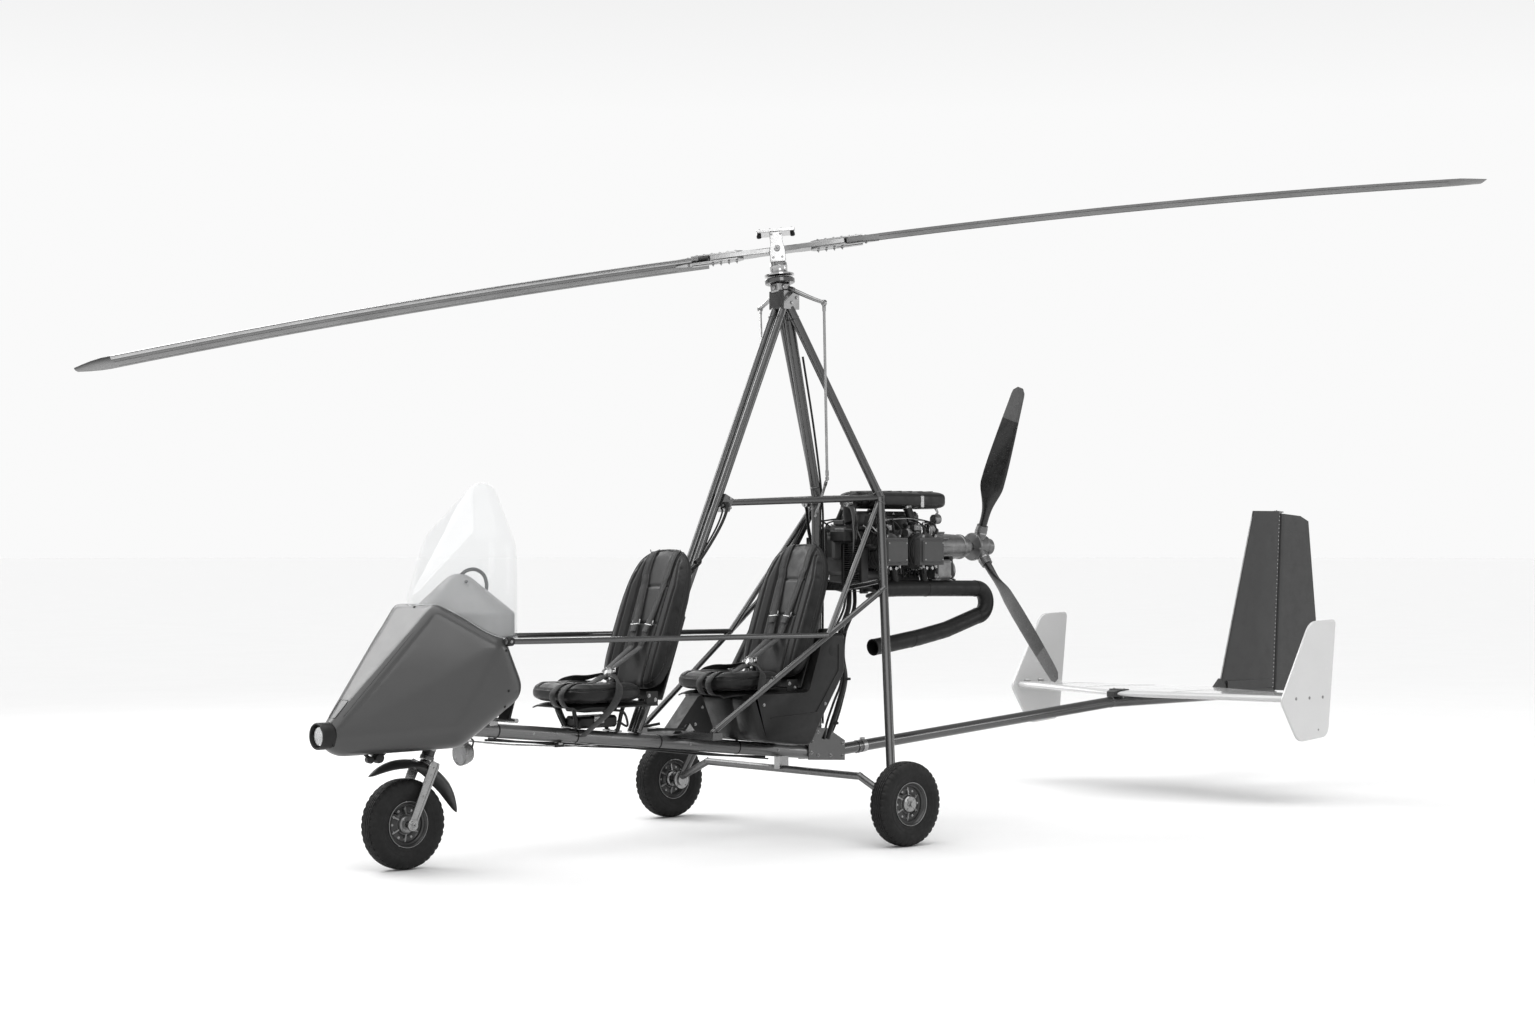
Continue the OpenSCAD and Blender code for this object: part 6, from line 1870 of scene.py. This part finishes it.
# rudder: round nose, flat sides to a thin trailing edge, notch at the foot, ribs
Hg = Matrix.Translation(P(-4.001, 0, 0.539)) @ Matrix.Rotation(-rad(3.8), 4, "Y")
k = Kit()
rings = []
RH, CH = 1.060, 0.419
for i in range(41):
    f = i / 40
    z = 0.0006 + (RH - 0.0012) * f
    if z < 0.010:
        back_ = CH - 0.060
    elif z <= 0.410:
        back_ = CH - 0.060 + 0.060 * min(1, z / 0.05) - 0.026 * z / 0.410
    elif z <= RH - 0.025:
        back_ = CH - 0.026 - 0.120 * (z - 0.410) / (RH - 0.435)
    else:
        back_ = CH - 0.146 - 0.083 * (z - RH + 0.025) / 0.025
    ring = []
    for side in (1, -1):
        for j in range(17):
            u = (j / 16 if side > 0 else 1 - j / 16) ** 1.25
            x = 0.0192 - (0.0192 + back_ - 0.001) * u
            if x > 0:
                h = math.sqrt(max(0, 0.0193 ** 2 - x * x))
            else:
                h = 0.0193 + (0.0028 - 0.0193) * min(1.0, -x / back_)
            ring.append(Hg @ Vector((x, side * max(h, 0.0003), z)))
    rings.append(ring)
k.rings(rings, "tail_paint")
for z in (0.10, 0.32, 0.54, 0.76, 0.96):
    for s in (-1, 1):
        w = CH - 0.026 - (0.12 * max(0, z - 0.41) / 0.625)
        k.tube([Hg @ Vector((-0.02 - (w - 0.05) * i / 8, s * (0.0191 - 0.0165 * (0.02 + (w - 0.05) * i / 8) / w),
                             z)) for i in range(9)], 0.0009, "tail_paint", 5)
k.tube([Hg @ Vector((-(CH - 0.001) + 0.026 * z / 0.41, 0, z)) for z in (0.06, 0.20,
        0.408)] + [Hg @ Vector((-(CH - 0.027) + 0.12 * (z - 0.41) / 0.625, 0, z)) for z in (0.44, 0.70, 1.03)],
       0.0020, "edge_light", 8)
k.done("rudder_skin", "rudder_panel", "tail_paint", "rudder", 40)

k = Kit()      # piano hinge: pin, brackets and fin-side knuckles
H3 = Hg.to_3x3()
k.lathe([(-0.0135, 0.0040), (-0.012, 0.0058), (RH + 0.012, 0.0058), (RH + 0.0135, 0.0040)], Hg @ Vector((0, 0, 0)),
        H3 @ Zv, "steel", 20)
for z in (-0.010, RH + 0.010):
    k.block(Hg @ Vector((0.024, 0, z)), (0.070, 0.0235, 0.0075), "steel", H3, 0.0015)
    k.bolt(Hg @ Vector((0.045, 0, z + (0.0035 if z > 0 else -0.0035))), H3 @ (Zv if z > 0 else -Zv), 0.0045)
for i in range(44):
    z = 0.02 + (RH - 0.04) * i / 43
    for s in (-1, 1):
        k.lathe([(0, 0.0036), (0.0010, 0.0036), (0.0018, 0.0016)], Hg @ Vector((0.040, s * 0.0185, z)), (0, s, 0),
                "edge_light", 8)
k.done("hinge_line", "airframe", "steel", "rudder_hinge", 34)


# ---------------------------------------------------------------- frame: weld beads, bolts, clips, cables
def bead(k, c, axis, r, m="frame_paint", w=0.006, wave=0.0006, n=64):
    """A rippled weld round a tube."""
    t = turn_to(axis)
    rings = []
    for h, q in ((-w / 2, 0.0), (-w * 0.25, 0.8), (w * 0.1, 1.0), (w / 2, 0.0)):
        rings.append([Vector(c) + t @ Vector(((r + q * (0.0022 + wave * sin(j * 2 * pi * 12 / n))) * cos(2 * pi * j / n),
                                              (r + q * (0.0022 + wave * sin(j * 2 * pi * 12 / n))) * sin(2 * pi * j / n),
                                              h + 0.0007 * sin(j * 2 * pi * 12 / n + 1))) for j in range(n)])
    k.rings(rings, m, False)


k = Kit()
for s in (-1, 1):
    corner, top, foot = P(-0.461, s * 0.231, 1.655), P(-0.024, s * 0.034, 2.600), P(0, s * 0.780, 0.200)
    for a, b, r in ((corner, top, 0.022), (corner, foot, 0.022)):
        d = (b - a).normalized()
        bead(k, a + d * 0.034, d, r)
    bead(k, top + (corner - top).normalized() * 0.060, corner - top, 0.022)
    bead(k, foot + (corner - foot).normalized() * 0.050, corner - foot, 0.022)
    mf, mt = P(0.943, s * 0.024, 0.534), P(0.010, s * 0.030, 2.600)
    d = (mt - mf).normalized()
    bead(k, mf + d * 0.012, d, 0.019)
    bead(k, mt - d * 0.060, d, 0.019)
    bt_, bf = P(-0.316, s * 0.412, 1.208), P(0.680, s * 0.260, 0.534)
    d = (bt_ - bf).normalized()
    bead(k, bt_ - d * 0.036, d, 0.014)
    bead(k, bf + d * 0.020, d, 0.014)
    node = bf.lerp(bt_, 0.337)
    d2 = (P(-0.461, s * 0.231, 1.655) - node).normalized()
    bead(k, node + d2 * 0.022, d2, 0.014)
    bead(k, P(1.930, s * 0.322, 1.000), (1, 0, 0), 0.0125)
    k.lathe([(0, 0.018), (0.004, 0.020), (0.030, 0.020), (0.034, 0.017)], P(1.893, s * 0.321, 1.000), (1, 0, 0),
            "black_plastic", 28)
    k.bolt(P(1.912, s * 0.340, 1.000), (0, s, 0), 0.005)
    k.bolt(P(0.000, s * 0.560, 0.325), (0, 0, 1), 0.0045)
    for x, z in ((-0.385, 0.352), (-0.385, 0.415), (-0.300, 0.360), (-0.300, 0.470), (-0.215, 0.365),
                 (-0.215, 0.480), (-0.168, 0.380), (-0.168, 0.440)):
        k.bolt(P(x, s * 0.0390, z), (0, s, 0), 0.0062, nut=(s > 0))
    for x in (0.05, 0.62, 1.56, 2.00):
        z = keel_z(x)
        k.bolt(P(x, s * 0.0325, z), (0, s, 0), 0.0050)
    k.lathe([(-0.005, 0.0305), (-0.005, 0.0335), (0.005, 0.0335), (0.005, 0.0305)], P(-0.52, 0, 0.3885),
            (1, 0, -0.07), "steel", 40, False, True)
post = (P(-0.240, 0, 0.407), P(-0.240, 0, 1.659), P(-0.040, 0, 2.600))
bead(k, P(-0.240, 0, 1.600), (0, 0, 1), 0.025)
bead(k, P(-0.240, 0, 0.508), (0, 0, 1), 0.025)
bead(k, post[1] + (post[2] - post[1]).normalized() * 0.050, post[2] - post[1], 0.025)
bead(k, post[2] + (post[1] - post[2]).normalized() * 0.060, post[1] - post[2], 0.025)
for x, y, z in ((-0.02, 0.0545, 2.622), (-0.052, 0.0545, 2.648), (0.012, 0.0545, 2.648)):
    for s in (-1, 1):
        k.bolt(P(x, s * y, z), (0, s, 0), 0.0066, nut=(s < 0))
for s in (-1, 1):
    for x, z in ((0.385, 1.600), (0.385, 1.645), (0.430, 1.612)):
        k.bolt(P(x, s * 0.0555, z), (0, s, 0), 0.0055)
# boom clamp bands and the knee gusset
bead(k, P(-2.500, 0, 0.532), (1, 0, 0.04), 0.030)
k.lathe([(-0.014, 0.0302), (-0.014, 0.0330), (0.014, 0.0330), (0.014, 0.0302)], P(-0.560, 0, 0.3922), (1, 0, -0.072),
        "steel", 44, False, True)
k.block(P(-0.560, 0.0, 0.4290), (0.026, 0.016, 0.012), "steel", None, 0.002)
k.lathe([(-0.004, 0.028), (0.0, 0.0305), (0.004, 0.0300), (0.006, 0.022)], P(-3.961, 0, 0.532), (-1, 0, 0),
        "black_plastic", 36)
k.lathe([(-0.004, 0.030), (0.0, 0.0335), (0.004, 0.0330), (0.006, 0.022)], P(2.058, 0, 0.6164), (1, 0, 0.105),
        "black_plastic", 36)
k.done("frame_fittings", "airframe", "frame_paint", (), 40)

# bent-tube linkage from the front mast, throttle cable, brake lines, cable ties
k = Kit()
link = [P(0.420, 0.060, 1.615), P(0.428, 0.075, 1.585), P(0.470, 0.070, 1.500), P(0.560, 0.055, 1.370),
        P(0.628, 0.045, 1.300)]
k.tube(smooth_path(link, 8), 0.0075, "black_plastic", 14)
k.tube(smooth_path([p + Vector((0.012, -0.02, -0.012)) for p in link], 8), 0.0045, "rubber_hose", 10)
k.lathe([(-0.016, 0.011), (-0.014, 0.014), (0.014, 0.014), (0.016, 0.011)], link[0], (0, 1, 0), "black_plastic", 24)
k.lathe([(-0.014, 0.010), (-0.012, 0.013), (0.012, 0.013), (0.014, 0.010)], link[-1], (0, 1, 0), "black_plastic", 24)
k.hose([(0.628, 0.045, 1.300), (0.640, 0.120, 1.335), (0.668, 0.150, 1.352), (0.700, 0.160, 1.338)], 8, 0.0095,
       "rubber_hose", 12)
for s, rr_ in ((-1, 0.0055), (1, 0.0035)):      # lines under the keel
    pts = [P(x, s * 0.012, keel_z(x) - 0.040 - 0.006 * sin(x * 5 + s)) for x in (0.10, 0.30, 0.55, 0.80, 1.05, 1.30,
            1.55, 1.80)]
    k.tube(smooth_path(pts, 6), rr_, "rubber_hose", 8)
low = [P(1.900, 0.010, 0.545), P(1.70, 0.012, 0.520), P(1.45, 0.012, 0.500), P(1.330, 0.012, 0.492),
       P(1.10, 0.012, 0.494)]
k.tube(smooth_path(low, 8), 0.0042, "steel", 10)
k.block(P(1.400, 0.010, 0.500), (0.050, 0.026, 0.018), "black_plastic", None, 0.004)
k.block(P(1.400, 0.010, 0.508), (0.024, 0.040, 0.010), "steel", None, 0.002)
for x in (0.30, 0.80, 1.30, 1.75):
    d = Vector((cos(rad(6.03)), 0, sin(rad(6.03))))
    k.lathe([(-0.003, 0.0332), (-0.003, 0.0348), (0.003, 0.0348), (0.003, 0.0332)], P(x, 0, keel_z(x)), d,
            "rubber_hose", 40, False, True)
# wiring up the rear post with ties
pts = [P(-0.264, 0.020, 0.52), P(-0.267, 0.016, 0.80), P(-0.266, 0.018, 1.10), P(-0.267, 0.014, 1.40),
       P(-0.262, 0.020, 1.62), P(-0.205, 0.022, 1.98), P(-0.125, 0.022, 2.36)]
k.tube(smooth_path(pts, 8), 0.0055, "rubber_hose", 10)
for p in pts[1:5]:
    k.lathe([(-0.003, 0.0262), (-0.003, 0.0278), (0.003, 0.0278), (0.003, 0.0262)], P(-0.240, 0, p.z), (0, 0, 1),
            "rubber_hose", 32, False, True)
# dark folded cover, floor plate and brackets between the seats
k.hull([P(x, s * 0.045, z) for x,
        z in ((0.470, 0.500), (0.740, 0.520), (0.700, 0.560), (0.585, 0.690), (0.560, 0.700), (0.520, 0.560)) for s in (-1, 1)], "black_plastic")
k.hull([P(x, s * 0.052, z) for x, z in ((0.590, 0.505), (0.690, 0.512), (0.640, 0.565)) for s in (-1, 1)], "steel")
for s in (-1, 1):
    k.bolt(P(0.600, s * 0.045, 0.560), (0, s, 0), 0.006)
    k.bolt(P(0.555, s * 0.045, 0.640), (0, s, 0), 0.006)
    k.hose([(0.700, s * 0.10, 0.560), (0.760, s * 0.14, 0.548), (0.860, s * 0.12, 0.552), (0.900, s * 0.05, 0.545)],
           6, 0.007, "rubber_hose", 10)
# rudder pedals and foot bar inside the pod
k.tube([P(1.780, -0.200, 0.640), P(1.780, 0.200, 0.640)], 0.011, "steel", 16)
k.block(P(1.780, 0, 0.622), (0.050, 0.060, 0.034), "steel", None, 0.005)
for s in (-1, 1):
    k.block(P(1.795, s * 0.150, 0.700), (0.012, 0.085, 0.120), "black_plastic", Matrix.Rotation(-0.3, 3, "Y"), 0.004)
    k.tube([P(1.782, s * 0.150, 0.640), P(1.790, s * 0.150, 0.690)], 0.007, "steel", 12)
k.done("cables_and_controls", "airframe", "black_plastic", (), 40)
